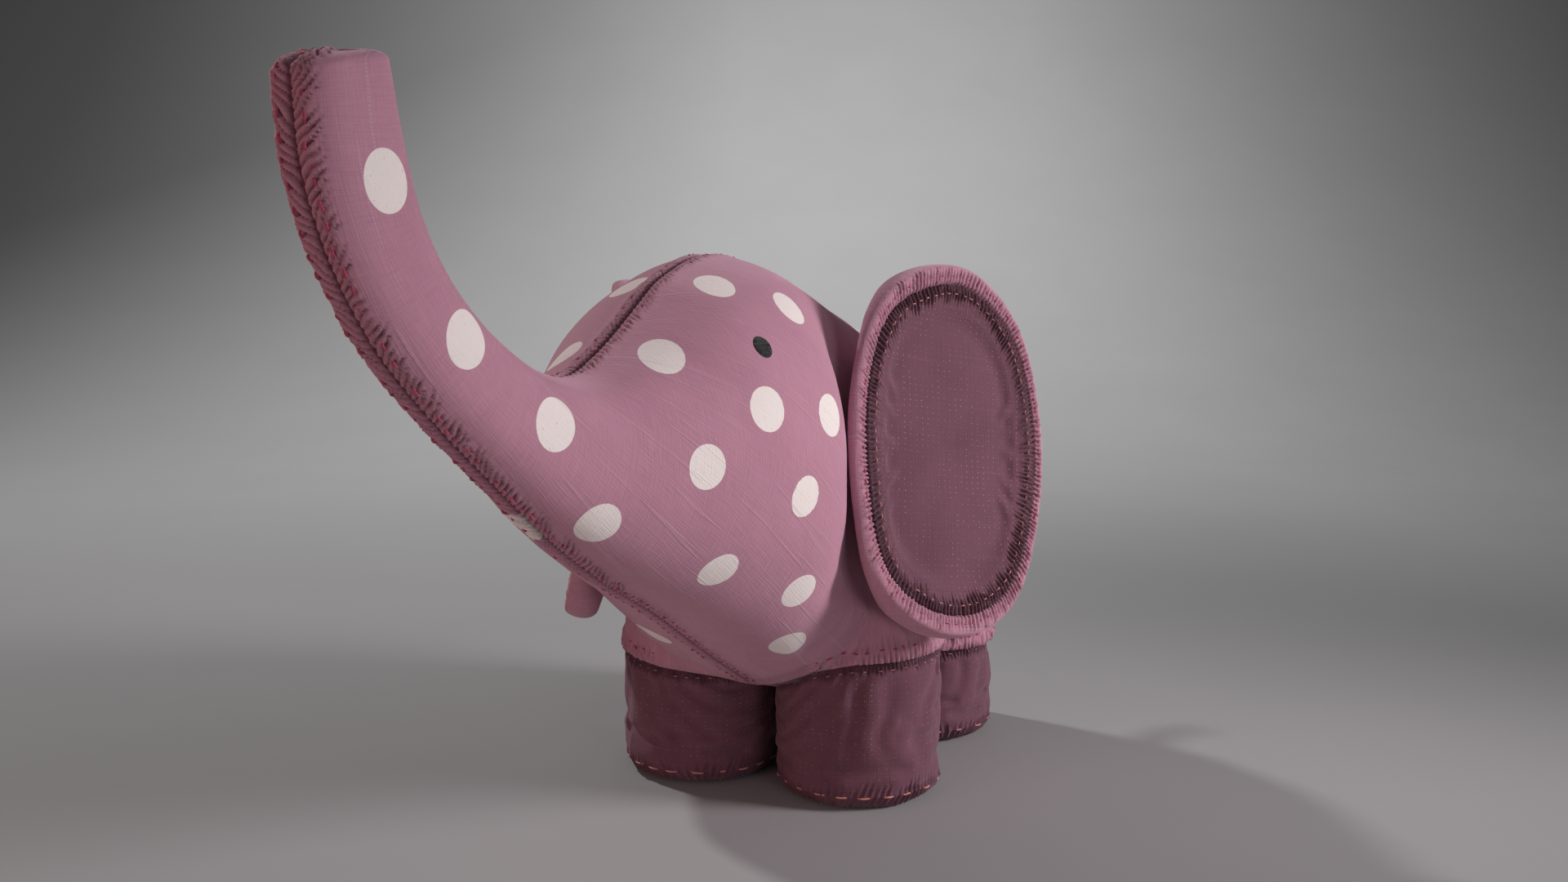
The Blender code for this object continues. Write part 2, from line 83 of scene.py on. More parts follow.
# Side profile of the body, trunk tip to rump: lowest and highest point (Y, Z), half width, squareness
# below and above the widest level. Y counts from the front feet.
STATIONS = [
    (-249.3, 228, -225.5, 235, 8.8, 3.4, 3.4),
    (-247, 208, -219.5, 212, 8.8, 3.2, 3.2),
    (-239, 188.5, -213.5, 199.5, 8.8, 3.0, 3.0),
    (-225.5, 170.3, -203.3, 185.8, 9.4, 2.8, 2.8),
    (-206, 153, -189.5, 175.5, 10.6, 2.6, 2.6),
    (-181, 134, -170, 166, 13.6, 2.4, 2.4),
    (-159, 118, -149, 164, 20.5, 2.2, 2.2),
    (-132, 102, -125, 175.5, 32, 2.1, 2.0),
    (-104, 87.5, -98, 192, 44, 2.1, 2.0),
    (-74, 70, -70, 201, 51.5, 2.3, 2.0),
    (-42, 52, -42, 201, 52, 2.8, 2.0),
    (-10, 37, -12, 193.5, 54, 3.0, 2.0),
    (28, 36, 24, 184, 57, 3.0, 2.0),
    (64, 37, 60, 172, 58, 3.0, 2.0),
    (94, 44, 90, 156, 52, 2.6, 2.0),
    (110, 62, 108, 136, 38, 2.2, 2.0),
]
RUMP_END = (119, 100)
FLARE_BOTTOM, FLARE_TOP = 60, 125
EAR_TUCK_DEPTH, EAR_TUCK_LENGTH, EAR_TUCK_HEIGHT = 7.5, 15, 54.4
EAR_TUCK_AHEAD = 0.5

# Leg seam: height of the pink hem at each X in front, and along the rear
HEM_FRONT = [(-66, 50), (-52, 48), (-33, 46), (-12, 45), (0, 42.5), (8, 43.5), (18, 47.5), (28, 52),
             (43, 55.5), (66, 57)]
HEM_REAR = 41.0
HEM_RUMP_RISE = 9.0
HAUNCH_TOP, HAUNCH_BOTTOM = 98, 62

# Mesh of the side covers
TIP_RINGS, BODY_RINGS, RUMP_RINGS = 12, 960, 28
COARSE = 4
ZONE_CELLS = (18, 44, 44, 14)
SEAM_STRIP = 11.0
HEM_LEVEL = 78.0
HEM_FROM_Y, CUT_FROM_Y = -70, -75
DENSE_STATIONS, DENSE_ANGLES, LOW_ANGLES = 2001, 401, 260
NO_DOT = 99.0
TURNED_IN, TURNED_UP, BELLY_LAP, BELLY_START = 1.3, 0.2, 2.0, 0.58
SIDES = (("left", 1), ("right", -1))


# ---- small maths


def smooth_step(value, start, end):
    f = np.clip((np.asarray(value, float) - start) / (end - start), 0, 1)
    return f * f * (3 - 2 * f)


def above_zero(value, soft=2.0):
    return 0.5 * (value + np.sqrt(value * value + soft * soft))


def chance(n, seed=0.0):
    """A repeatable number from 0 to 1 for each whole number n."""
    f = np.sin(np.asarray(n, float) * 12.9898 + seed * 4.123) * 43758.5453
    return f - np.floor(f)


def wobble(a, b, seed=0.0):
    """Smooth random-looking value about -1 to 1, with features about one unit long."""
    total = 0.0
    for k in range(5):
        turn = 2.399 * k + seed
        fa, fb = math.cos(turn) * (1 + 0.33 * k), math.sin(turn) * (1 + 0.33 * k)
        total = total + np.sin(2.1 * (a * fa + b * fb) + 1.7 * k * k + 3.1 * seed) / (1 + 0.35 * k)
    return total / 2.4


def spline(before, a, b, after, f):
    """Catmull-Rom value at the share f of the way from a to b."""
    curve = 2 * before - 5 * a + 4 * b - after + f * (3 * (a - b) + after - before)
    return a + 0.5 * f * (b - before + f * curve)


def smooth_rows(rows, t):
    """Smooth curve through rows for an array t from 0 to 1."""
    values = np.asarray(rows, float)
    last = len(values) - 1
    place = np.clip(t, 0, 1) * last
    i = np.minimum(place.astype(int), last - 1)
    padded = np.vstack([2 * values[0] - values[1], values, 2 * values[-1] - values[-2]])
    return spline(padded[i], padded[i + 1], padded[i + 2], padded[i + 3], (place - i)[:, None])


def unit(v):
    return v / np.maximum(np.linalg.norm(v, axis=-1, keepdims=True), 1e-9)


# ---- body surface


def leg_reach(y):
    """How far sideways the legs reach at y, or 0 where there is no leg."""
    reach = np.zeros_like(y)
    for leg_y in (0.0, WHEELBASE):
        inside = (LEG_RADIUS + 0.6) ** 2 - (y - leg_y) ** 2
        reach = np.maximum(reach, np.where(inside > 0, HALF_TRACK + np.sqrt(np.maximum(inside, 0)), 0))
    return reach


def hem_height(x, y):
    """Height of the seam between the pink body and the plum legs."""
    xs, zs = zip(*HEM_FRONT)
    front = np.interp(x, xs, zs)
    rear = HEM_REAR + HEM_RUMP_RISE * smooth_step(y, 92, 112)
    return front + smooth_step(y, 12, 50) * (rear - front)


def body_section(t, angles, skirt=False):
    """Points (ring, around, xyz) on half of the body; skirt lets the cloth hang over the leg tops."""
    row = smooth_rows(STATIONS, t)[:, None, :]
    low_y, low_z, high_y, high_z, half_width, square_low, square_high = np.moveaxis(row, 2, 0)
    c, s = np.cos(np.radians(angles))[None, :], np.sin(np.radians(angles))[None, :]
    power = 2 / np.where(s < 0, square_low, square_high)
    x = half_width * np.abs(c) ** power
    h = np.copysign(np.abs(s) ** power, s)
    centre_z = (low_z + high_z) / 2
    y = (low_y + high_y) / 2 + h * (high_y - low_y) / 2
    z = centre_z + h * (high_z - low_z) / 2
    drop = np.clip((centre_z - FLARE_BOTTOM) / (centre_z - low_z), 0, 1)
    edge = half_width * np.maximum((1 - drop ** square_low) ** (1 / square_low), 0.75)
    reach = leg_reach(y)
    under = x * (1 + above_zero(reach - edge) / edge)
    if skirt:
        hang = smooth_step(x, 0.2 * edge, 0.42 * edge)
        under = under + hang * np.maximum(reach - under, 0)
    sideways = smooth_step(x / half_width, 0.3, 0.8)
    over = x + sideways * smooth_step(z, FLARE_TOP, FLARE_BOTTOM) * above_zero(reach - x)
    flared = np.where(z <= FLARE_BOTTOM, under, over)
    blend = smooth_step(low_y, -60, -20)
    if skirt:
        blend = blend * (1 - smooth_step(y, WHEELBASE + 8, WHEELBASE + 28))
    x = x + blend * (flared - x)
    across = (y - EAR_Y + EAR_TUCK_AHEAD) / EAR_TUCK_LENGTH
    up = (z - EAR_Z) / EAR_TUCK_HEIGHT
    x = x - EAR_TUCK_DEPTH * np.exp(-across ** 2 - up ** 4) * x / half_width
    if skirt:
        x, y = over_rear_leg(x, y, z)
    return np.stack([x, y, z], 2)


def over_rear_leg(x, y, z):
    """Carries the rump outward so that the cloth hangs over the back of the rear leg."""
    dx, dy = x - HALF_TRACK, y - WHEELBASE
    r = np.maximum(np.hypot(dx, dy), 1e-6)
    push = above_zero(LEG_RADIUS + 0.9 - r, 1.5) * smooth_step(z, HAUNCH_TOP, HAUNCH_BOTTOM)
    push = push * smooth_step(dy, -2, 6)
    return x + push * dx / r, y + push * dy / r


def spread(values, reach):
    """The highest of the nearby values, smoothed, so that the mesh lines run evenly."""
    high = np.array([values[max(i - reach, 0):i + reach + 1].max() for i in range(len(values))])
    kernel = np.hanning(2 * reach + 1)
    padded = np.concatenate([np.full(reach, high[0]), high, np.full(reach, high[-1])])
    return np.convolve(padded, kernel / kernel.sum(), "valid")


def side_grid():
    """Fine grid over one side: points and distances from the underside seam and the top seam."""
    t = np.linspace(0, 1, DENSE_STATIONS)
    rows = smooth_rows(STATIONS, t)
    along = running_length(rows[:, 0:2]) + running_length(rows[:, 2:4])
    ring_t = np.interp(np.linspace(0, along[-1], BODY_RINGS + 1), along, t)
    angles = 90 * np.sin(np.radians(np.linspace(-90, 90, DENSE_ANGLES)))
    dense = body_section(ring_t, angles, skirt=True)
    dense = np.concatenate([trunk_tip(dense), dense, rump_cap(dense)])
    lengths = np.zeros(dense.shape[:2])
    lengths[:, 1:] = np.cumsum(np.linalg.norm(np.diff(dense, axis=1), axis=2), axis=1)
    end = lengths[:, -1]
    strip = np.minimum(SEAM_STRIP, 0.3 * end)
    low_part = (dense[:, :, 2] < HEM_LEVEL) & (dense[:, :, 1] > CUT_FROM_Y)
    low_part[:, LOW_ANGLES:] = False
    hem_at = spread((lengths * low_part).max(1), 45)
    middle = strip + 0.1 * end + 0.95 * np.maximum(hem_at - strip, 0)
    middle = np.minimum(middle, 0.75 * end)
    spans = ((0 * end, strip), (strip, middle), (middle, end - strip), (end - strip, end))
    columns = [a + (b - a) * k / cells for cells, (a, b) in zip(ZONE_CELLS, spans) for k in range(cells)]
    s = np.stack([*columns, end], 1)
    points = np.empty((*s.shape, 3))
    for ring, at, length, fine in zip(points, s, lengths, dense):
        for axis in range(3):
            ring[:, axis] = np.interp(at, length, fine[:, axis])
    return points, s, end[:, None] - s


def ring_middle(ring):
    return (ring.max(0) + ring.min(0)) / 2 * (0, 1, 1)


def trunk_tip(dense):
    """Rounds the open end of the trunk."""
    first, centre = dense[0], ring_middle(dense[0])
    up = unit(centre - ring_middle(dense[40]))
    rings = []
    for k in range(TIP_RINGS):
        scale = math.sin(math.pi / 2 * k / TIP_RINGS) ** 0.7
        rings.append(centre + (first - centre) * scale + up * 2.8 * (1 - scale ** 3.5) ** 0.6)
    return np.array(rings)


def rump_cap(dense):
    """Rounds the open end at the rump."""
    last, middle = dense[-1], ring_middle(dense[-1])
    out = np.array([0, *RUMP_END]) - middle
    rings = []
    for k in range(1, RUMP_RINGS + 1):
        share = math.sin(math.pi / 2 * k / RUMP_RINGS)
        bulge = math.sqrt(1 - (1 - share) ** 2)
        rings.append(middle + (last - middle) * math.sqrt(1 - share ** 2) + out * share * bulge)
    return np.array(rings)


def grid_normals(points):
    return unit(np.cross(np.gradient(points, axis=0), np.gradient(points, axis=1)))


def wrapped_normals(points):
    """Normals of a grid whose first axis is closed."""
    return grid_normals(np.concatenate([points[-1:], points, points[:1]]))[1:-1]


def running_length(points):
    steps = np.linalg.norm(np.diff(points, axis=0), axis=-1)
    return np.concatenate([[0], np.cumsum(steps)])


# ---- sewn details


def pleats(phase, sharp=0.8):
    """Height from 0 in the valleys to 1 on the ridges, one ridge per unit of phase."""
    f = phase - np.floor(phase)
    return (1 - np.abs(2 * f - 1)) ** sharp


def rolls(phase, sharp=1.5):
    """Height from 0 to 1 of soft round folds, one per unit of phase."""
    return (0.5 - 0.5 * np.cos(2 * math.pi * phase)) ** sharp


def seam_gathers(along, away, seed, pitch, lean, width, height):
    """Chevron pleats on one side of a long seam, each pleat with its own length: rise and painted shade."""
    phase = (along + lean * away) / pitch + 0.4 * wobble(along / 5, away / 3, seed)
    number = np.floor(phase)
    reach = width * (0.66 + 0.5 * chance(number, seed))
    window = smooth_step(away, 0.1, 1.0) * (1 - smooth_step(away / reach, 0.6, 1.0))
    size = height * (0.65 + 0.5 * chance(number, seed + 5))
    ridge = pleats(phase, 0.6)
    strength = np.minimum(height, 1)
    shaded_crease = np.exp(-(away / 0.6) ** 2) * strength
    roll = 0.7 * strength * np.exp(-((away - 3.0) / 2.4) ** 2)
    rise = -0.9 * shaded_crease + roll + size * window * (ridge - 0.6)
    # the second value is painted shade in the pleat valleys and along the seam groove
    return rise, np.minimum(window * strength * (1 - ridge) ** 1.3 * 1.25 + 0.8 * shaded_crease, 1)


def hem_gathers(around, above, band, seed):
    """Upright pleats above the leg seam, fading upward over the band: rise and painted shade."""
    pitch, height = 2.0, 1.9
    skew = 0.45 * wobble(around / 6, above / 7, seed) + 0.12 * above * wobble(around / 9, 0, seed + 2)
    phase = around / pitch + skew
    number = np.floor(phase)
    reach = band * (0.6 + 0.55 * chance(number, seed))
    window = 1 - smooth_step(above / reach, 0.55, 1.0)
    nip = -0.5 * np.exp(-((above - 0.45 * band) / 0.9) ** 2)
    size = height * (0.6 + 0.7 * chance(number, seed + 3))
    ridge = pleats(phase, 0.6)
    # the second value is painted shade in the pleat valleys
    return window * size * (ridge - 0.35) + nip * (band > 6), window * (1 - ridge) ** 1.1


def loop_pleats(around, total, pitch, skew, away, reach, seed, hold):
    """Pleats round a closed edge, each with its own reach: their numbers, ridges and fade."""
    phase = around / total * round(total / pitch) + skew
    number = np.floor(phase)
    length = reach[0] + reach[1] * chance(number, seed)
    return number, pleats(phase, 0.6), 1 - smooth_step(away / length, hold, 1)


def hem_line(points, sign):
    """The leg seam on one side as (x, y, z) points, from the front crotch round to the rear one."""
    line = []
    for ring in points:
        gap = ring[:, 2] - hem_height(sign * ring[:, 0], ring[:, 1])
        crossing = np.nonzero((gap[:-1] < 0) & (gap[1:] >= 0))[0]
        if len(crossing) and ring[0, 1] > HEM_FROM_Y:
            k = crossing[0]
            f = gap[k] / (gap[k] - gap[k + 1])
            line.append(ring[k] + f * (ring[k + 1] - ring[k]))
    return np.array(line)


def nearest_on_line(points, line):
    """For each point, the length along the line of its nearest line point seen from above."""
    line = line[::3]
    lengths = running_length(line)
    best = np.full(len(points), 1e9)
    place = np.zeros(len(points))
    flat = points[:, :2]
    for start, stop, at, size in zip(line[:-1, :2], line[1:, :2], lengths, np.diff(lengths)):
        step = stop - start
        share = np.clip((flat - start) @ step / max(step @ step, 1e-9), 0, 1)
        d = ((flat - start - share[:, None] * step) ** 2).sum(1)
        closer = d < best
        best[closer] = d[closer]
        place[closer] = at + share[closer] * size
    return place


def body_folds(points, sign, above_hem):
    """Soft drapes over the legs and creases that run to the sewn ear."""
    x, y, z = np.moveaxis(points, 2, 0)
    folds = 0.5 * wobble(y / 38, z / 30, 3 + sign)
    up = np.clip(above_hem, 0, 80)
    turn = 62 * np.arctan2(x, WHEELBASE / 2 - y)
    fan = turn / 12 + 0.9 * wobble(y / 30, z / 30, 8 + sign) + up / 38
    folds += 1.7 * (rolls(fan) - 0.4) * smooth_step(up, 4, 14) * (1 - smooth_step(up, 18, 46))
    for root_z, size, reach in ((EAR_Z + 44, 1.1, 22), (EAR_Z - 46, 1.5, 36)):
        dy, dz = y - EAR_Y - 3, z - root_z
        r = np.hypot(dy, dz)
        turn = np.arctan2(dz, dy)
        spokes = 0.5 * np.sin(10 * turn + 1.4 * wobble(y / 26, z / 26, 5 + sign) + root_z)
        folds += size * spokes * smooth_step(r, 4, 16) * np.exp(-(r / reach) ** 2) * smooth_step(x, 15, 30)
    return folds


# ---- meshes


def add_object(name, data):
    item = bpy.data.objects.new(name, data)
    bpy.context.scene.collection.objects.link(item)
    return item


def mesh_object(name, verts, faces, mat, attributes=None):
    """A smooth mesh from millimetre points, set on the frame's own origin."""
    mesh = bpy.data.meshes.new(name)
    mesh.from_pydata((np.asarray(verts, float) * MM + (0, ORIGIN_Y * MM, 0)).tolist(), [], faces)
    for key, values in (attributes or {}).items():
        values = np.asarray(values, np.float32)
        kind, field = ("FLOAT", "value") if values.ndim == 1 else ("FLOAT_VECTOR", "vector")
        mesh.attributes.new(key, kind, "POINT").data.foreach_set(field, values.ravel())
    mesh.materials.append(mat)
    mesh.shade_smooth()
    return add_object(name, mesh)


def grid_faces(rows, columns, wrap=False, first=0, flip=False):
    """Quads of a rows x columns grid of points; wrap joins the last row to the first."""
    i, j = np.meshgrid(np.arange(rows if wrap else rows - 1), np.arange(columns - 1), indexing="ij")
    k = (i + 1) % rows
    a, b, c, d = i * columns + j, k * columns + j, k * columns + j + 1, i * columns + j + 1
    quads = np.stack([a, d, c, b] if flip else [a, b, c, d], -1).reshape(-1, 4) + first
    return quads.tolist()


def closed_rings(rows, ring, flip=False):
    """Quads of a tube of closed rings."""
    faces = grid_faces(rows, ring, flip=flip)
    last = ring - 1
    starts = range(0, (rows - 1) * ring, ring)
    return faces + [[i + last, i + ring + last, i + ring, i] for i in starts]


def side_cover(name, sign, mat, dots):
    """One dotted pink side of the body and trunk, from the middle seams down to the leg seam."""
    points, from_under, from_top = side_grid()
    x, y, z = np.moveaxis(points, 2, 0)
    line = hem_line(points, sign)
    under_length, top_length = running_length(points[:, 0]), running_length(points[:, -1])
    above = z - hem_height(sign * x, y)
    around = np.zeros(above.shape)
    near = (above < 85) & (y > HEM_FROM_Y)
    around[near] = nearest_on_line(points[near], line)
    on_trunk, on_head = 1 - smooth_step(y, -150, -100), smooth_step(y, -168, -140)
    rise, dark = seam_gathers(under_length[:, None], from_under, 1 + sign, 2.45, 1.15, 5.4 + 1.7 * on_trunk,
                              1.25 + 0.4 * on_trunk)
    more, shade = seam_gathers(top_length[:, None], from_top, 4 + sign, 2.1, 0.9, 1.2 + 4.4 * on_head,
                               0.15 + 0.9 * on_head)
    rise, dark = rise + more, np.maximum(dark, shade)
    band = np.maximum(4.2 + 5.6 * smooth_step(np.abs(x), 22, 48), 9.0 * smooth_step(y, 20, 40))
    by_hem = near * smooth_step(from_under, 3, 7) * (above < 18)
    more, shade = hem_gathers(around, np.maximum(above, 0), band, 11 + sign)
    rise, dark = rise + by_hem * more, np.maximum(dark, 0.55 * by_hem * shade)
    low_part = smooth_step(y, -70, -40) * (1 - smooth_step(above, 55, 85))
    rise += near * low_part * body_folds(points, sign, above) * smooth_step(from_under, 4, 20)
    rise += 0.25 * wobble(y / 16, z / 16, 2 + sign) * smooth_step(from_under, 6, 15)
    rise *= np.where(y > 60, smooth_step(from_under + from_top, 6, 32), 1)
    moved = points + grid_normals(points) * rise[:, :, None]
    moved[:, (0, -1), 0] = 0
    cloth = np.stack(np.broadcast_arrays(under_length[:, None], from_under, 0 * above), -1)
    dot = np.full(above.shape, NO_DOT)
    for where, radius in dots:
        dot = np.minimum(dot, np.linalg.norm(points - where, axis=2) - radius)
    ids, faces = zoned_faces(moved.shape[:2], flip=sign < 0)
    keep = ids >= 0
    mirror = (sign, 1, 1)
    # dark is painted shade in the gathers along the middle seams and above the leg seam
    data = {"dot": dot[keep], "cloth": cloth[keep], "shaded_crease": dark[keep]}
    item = mesh_object(name, moved[keep] * mirror, faces, mat, data)
    cut_at_hem(item, below=False)
    sheet = {"points": moved * mirror, "out": grid_normals(moved) * mirror, "line": line * mirror,
             "around": around, "above": above, "under": from_under, "top": from_top,
             "under_length": under_length, "top_length": top_length}
    return item, sheet


def quads_between(ids):
    """Quads between the neighbouring rows and columns of a grid of point numbers."""
    return np.stack([ids[:-1, :-1], ids[1:, :-1], ids[1:, 1:], ids[:-1, 1:]], -1).reshape(-1, 4).tolist()


def zoned_faces(shape, flip):
    """Faces of the side grid: every ring near the seams, every fourth ring on the plain flank."""
    a = ZONE_CELLS[0] + ZONE_CELLS[1]
    b = a + ZONE_CELLS[2]
    used = np.ones(shape, bool)
    used[:, a + 1:b] = False
    used[::COARSE, a + 1:b] = True
    ids = np.full(shape, -1)
    ids[used] = np.arange(used.sum())
    faces = quads_between(ids[:, :a + 1]) + quads_between(ids[:, b:]) + quads_between(ids[::COARSE, a + 1:b])
    for i in range(0, shape[0] - 1, COARSE):
        fine = ids[i:i + COARSE + 1, a].tolist()
        faces.append(fine + [int(ids[i + COARSE, a + 1]), int(ids[i, a + 1])])
        fine = ids[i:i + COARSE + 1, b].tolist()
        faces.append([int(ids[i, b - 1]), int(ids[i + COARSE, b - 1])] + fine[::-1])
    if flip:
        faces = [face[::-1] for face in faces]
    return ids, faces


def cut_at_hem(item, below, lap=0.0):
    """Cuts a cover along the leg seam; the pink keeps what is above it and gets a turned-in edge."""
    mesh = item.data
    co = np.empty(len(mesh.vertices) * 3)
    mesh.vertices.foreach_get("co", co)
    co = co.reshape(-1, 3) / MM
    co[:, 1] -= ORIGIN_Y
    hem = np.where(co[:, 1] > CUT_FROM_Y, hem_height(co[:, 0], co[:, 1]) + lap, 0)
    bm = bmesh.new()
    bm.from_mesh(mesh)
    for v, h in zip(bm.verts, hem):
        v.co.z -= h * MM
    cut = bmesh.ops.bisect_plane(bm, geom=bm.verts[:] + bm.edges[:] + bm.faces[:], plane_co=(0, 0, 0),
                                 plane_no=(0, 0, -1 if not below else 1), clear_outer=True)
    edge_verts = {v for v in cut["geom_cut"] if isinstance(v, bmesh.types.BMVert)}
    for v in bm.verts:
        y = v.co.y / MM - ORIGIN_Y
        if y > CUT_FROM_Y:
            v.co.z += float(hem_height(v.co.x / MM, y) + lap) * MM
    if not below:
        edges = [e for e in cut["geom_cut"] if isinstance(e, bmesh.types.BMEdge) and e.is_boundary]
        bm.normal_update()
        normals = {v: v.normal.copy() for v in edge_verts}
        turned = bmesh.ops.extrude_edge_only(bm, edges=edges)
        for v in [g for g in turned["geom"] if isinstance(g, bmesh.types.BMVert)]:
            nearest = min(v.link_edges, key=lambda e: e.calc_length()).other_vert(v)
            v.co -= normals.get(nearest, Vector((0, 0, 1))) * TURNED_IN * MM
            v.co.z += TURNED_UP * MM
    for f in bm.faces:
        f.smooth = True
    bm.to_mesh(mesh)
    bm.free()


def belly_cover(lines, mat):
    """Plum gusset under the body, between the legs."""
    t = np.linspace(BELLY_START, 1.0, 300)
    angles = np.linspace(-90, 5, 110)
    half = body_section(t, angles)
    out = grid_normals(half)
    verts, faces, cloth, creases = [], [], [], []
    for sign in (1, -1):
        hem = hem_height(sign * half[:, :, 0], half[:, :, 1])
        below = np.clip(hem - half[:, :, 2], 0, 30)
        place = nearest_on_line(half.reshape(-1, 3), lines[sign] * (sign, 1, 1)).reshape(below.shape)
        ridge = pleats(place / 1.8 + 0.4 * wobble(place / 5, below / 4, 20 + sign), 0.6)
        fade = 1 - smooth_step(below, 3, 8)
        rise = -0.7 + 1.0 * (ridge - 0.5) * fade
        # painted shade in the valleys of the gathers under the leg seam
        creases.append((fade * (1 - ridge) ** 1.3).ravel())
        rise += 0.5 * wobble(half[:, :, 0] / 18, half[:, :, 1] / 18, 4 + sign)
        moved = (half + out * rise[:, :, None]) * (sign, 1, 1)
        faces += grid_faces(len(t), len(angles), first=len(t) * len(angles) * len(verts), flip=sign < 0)
        verts.append(moved.reshape(-1, 3))
        cloth.append(np.stack([half[:, :, 1], half[:, :, 0] * sign, half[:, :, 2]], -1).reshape(-1, 3))
    item = mesh_object("belly_cover", np.concatenate(verts), faces, mat,
                       {"cloth": np.concatenate(cloth), "shaded_crease": np.concatenate(creases)})
    cut_at_hem(item, below=True, lap=BELLY_LAP)
    return item


# ---- cloth simulation

CLOTH_SCALE, CLOTH_FRAMES = 0.01, 20
def resample(grid, rows, columns):
    """Smoothly refines a coarse grid of vectors whose first axis is closed."""
    place = np.arange(rows) * len(grid) / rows
    i = place.astype(int)
    around = [grid[(i + k) % len(grid)] for k in (-1, 0, 1, 2)]
    grid = spline(*around, (place - i)[:, None, None]).swapaxes(0, 1)
    place = np.linspace(0, len(grid) - 1, columns)
    i = np.minimum(place.astype(int), len(grid) - 2)
    padded = np.concatenate([2 * grid[:1] - grid[1:2], grid, 2 * grid[-1:] - grid[-2:-1]])
    return spline(*(padded[i + k] for k in range(4)), (place - i)[:, None, None]).swapaxes(0, 1)


def settle(grid, pinned, swell, pressure, limit):
    """How far each point of a coarse closed tube of cloth moves when it swells between its sewn edges."""
    rows, columns = grid.shape[:2]
    mesh = bpy.data.meshes.new("cloth_coarse")
    mesh.from_pydata((grid.reshape(-1, 3) * CLOTH_SCALE).tolist(), [], grid_faces(rows, columns, wrap=True))
    item = add_object("cloth_coarse", mesh)
    pins = item.vertex_groups.new(name="sewn")
    pins.add(np.nonzero(pinned.ravel())[0].tolist(), 1.0, "REPLACE")
    cloth = item.modifiers.new("Cloth", "CLOTH")
    settings = {"vertex_group_mass": "sewn", "use_pressure": True, "uniform_pressure_force": pressure,
                "shrink_min": -swell, "tension_stiffness": 25, "compression_stiffness": 25,
                "shear_stiffness": 8, "bending_stiffness": 0.4, "mass": 0.15, "air_damping": 2}
    for key, value in settings.items():
        setattr(cloth.settings, key, value)
    cloth.settings.effector_weights.gravity = 0
    cloth.collision_settings.use_collision = False
    cloth.collision_settings.use_self_collision = False
    scene = bpy.context.scene
    for f in range(1, CLOTH_FRAMES + 1):
        scene.frame_set(f)
    evaluated = item.evaluated_get(bpy.context.evaluated_depsgraph_get())
    co = np.empty(rows * columns * 3)
    evaluated.data.vertices.foreach_get("co", co)
    scene.frame_set(1)
    bpy.data.objects.remove(item)
    move = co.reshape(rows, columns, 3) / CLOTH_SCALE - grid
    size = np.linalg.norm(move, axis=2, keepdims=True)
    return move * np.minimum(1, limit / np.maximum(size, 1e-6))


# ---- legs

LEG_TURNS, LEG_FOOT_ROWS, LEG_ROWS = 460, 12, 84
COARSE_TURNS, COARSE_ROWS = 72, 12
FOOT_ROUNDING, FOOT_STITCH_HEIGHT, LEAST_HEIGHT = 6.0, 5.6, 0.15
LEG_LAP, OWN_LEG_REACH = 1.2, 43


def leg_top(sign, leg_y, line, theta):
    """Radius and height of the leg's upper edge at each angle round the leg."""
    rel = line[:, :2] * (sign, 1) - (HALF_TRACK, leg_y)
    dist = np.hypot(rel[:, 0], rel[:, 1])
    angle = np.arctan2(rel[:, 1], rel[:, 0])
    radius = np.full(len(theta), LEG_RADIUS + 0.2)
    rim_x, rim_y = HALF_TRACK + LEG_RADIUS * np.cos(theta), leg_y + LEG_RADIUS * np.sin(theta)
    height = hem_height(sign * rim_x, rim_y) + LEG_LAP
    for k, turn in enumerate(theta):
        off = np.abs((angle - turn + math.pi) % (2 * math.pi) - math.pi)
        close = (off < math.radians(5)) & (dist < OWN_LEG_REACH)
        if close.any():
            best = np.argmin(np.where(close, dist, 1e9))
            radius[k] = np.clip(dist[best] - 0.9, LEG_RADIUS - 2, LEG_RADIUS + 7)
            height[k] = line[best, 2] + LEG_LAP
    pad = 2 * (len(theta) // 36)
    kernel = np.hanning(pad + 1)
    kernel /= kernel.sum()
    wrapped = (np.concatenate([v[-pad:], v, v[:pad]]) for v in (radius, height))
    return [np.convolve(v, kernel, "same")[pad:-pad] for v in wrapped]


def leg_grid(sign, leg_y, line, turns, rows):
    theta = 2 * math.pi * np.arange(turns) / turns
    radius, height = leg_top(sign, leg_y, line, theta)
    up = np.linspace(0, 1, rows)[None, :]
    z = FOOT_ROUNDING + (height[:, None] - FOOT_ROUNDING) * up
    r = LEG_RADIUS + (radius[:, None] - LEG_RADIUS) * smooth_step(z, 20, height[:, None])
    return theta, r, z, height


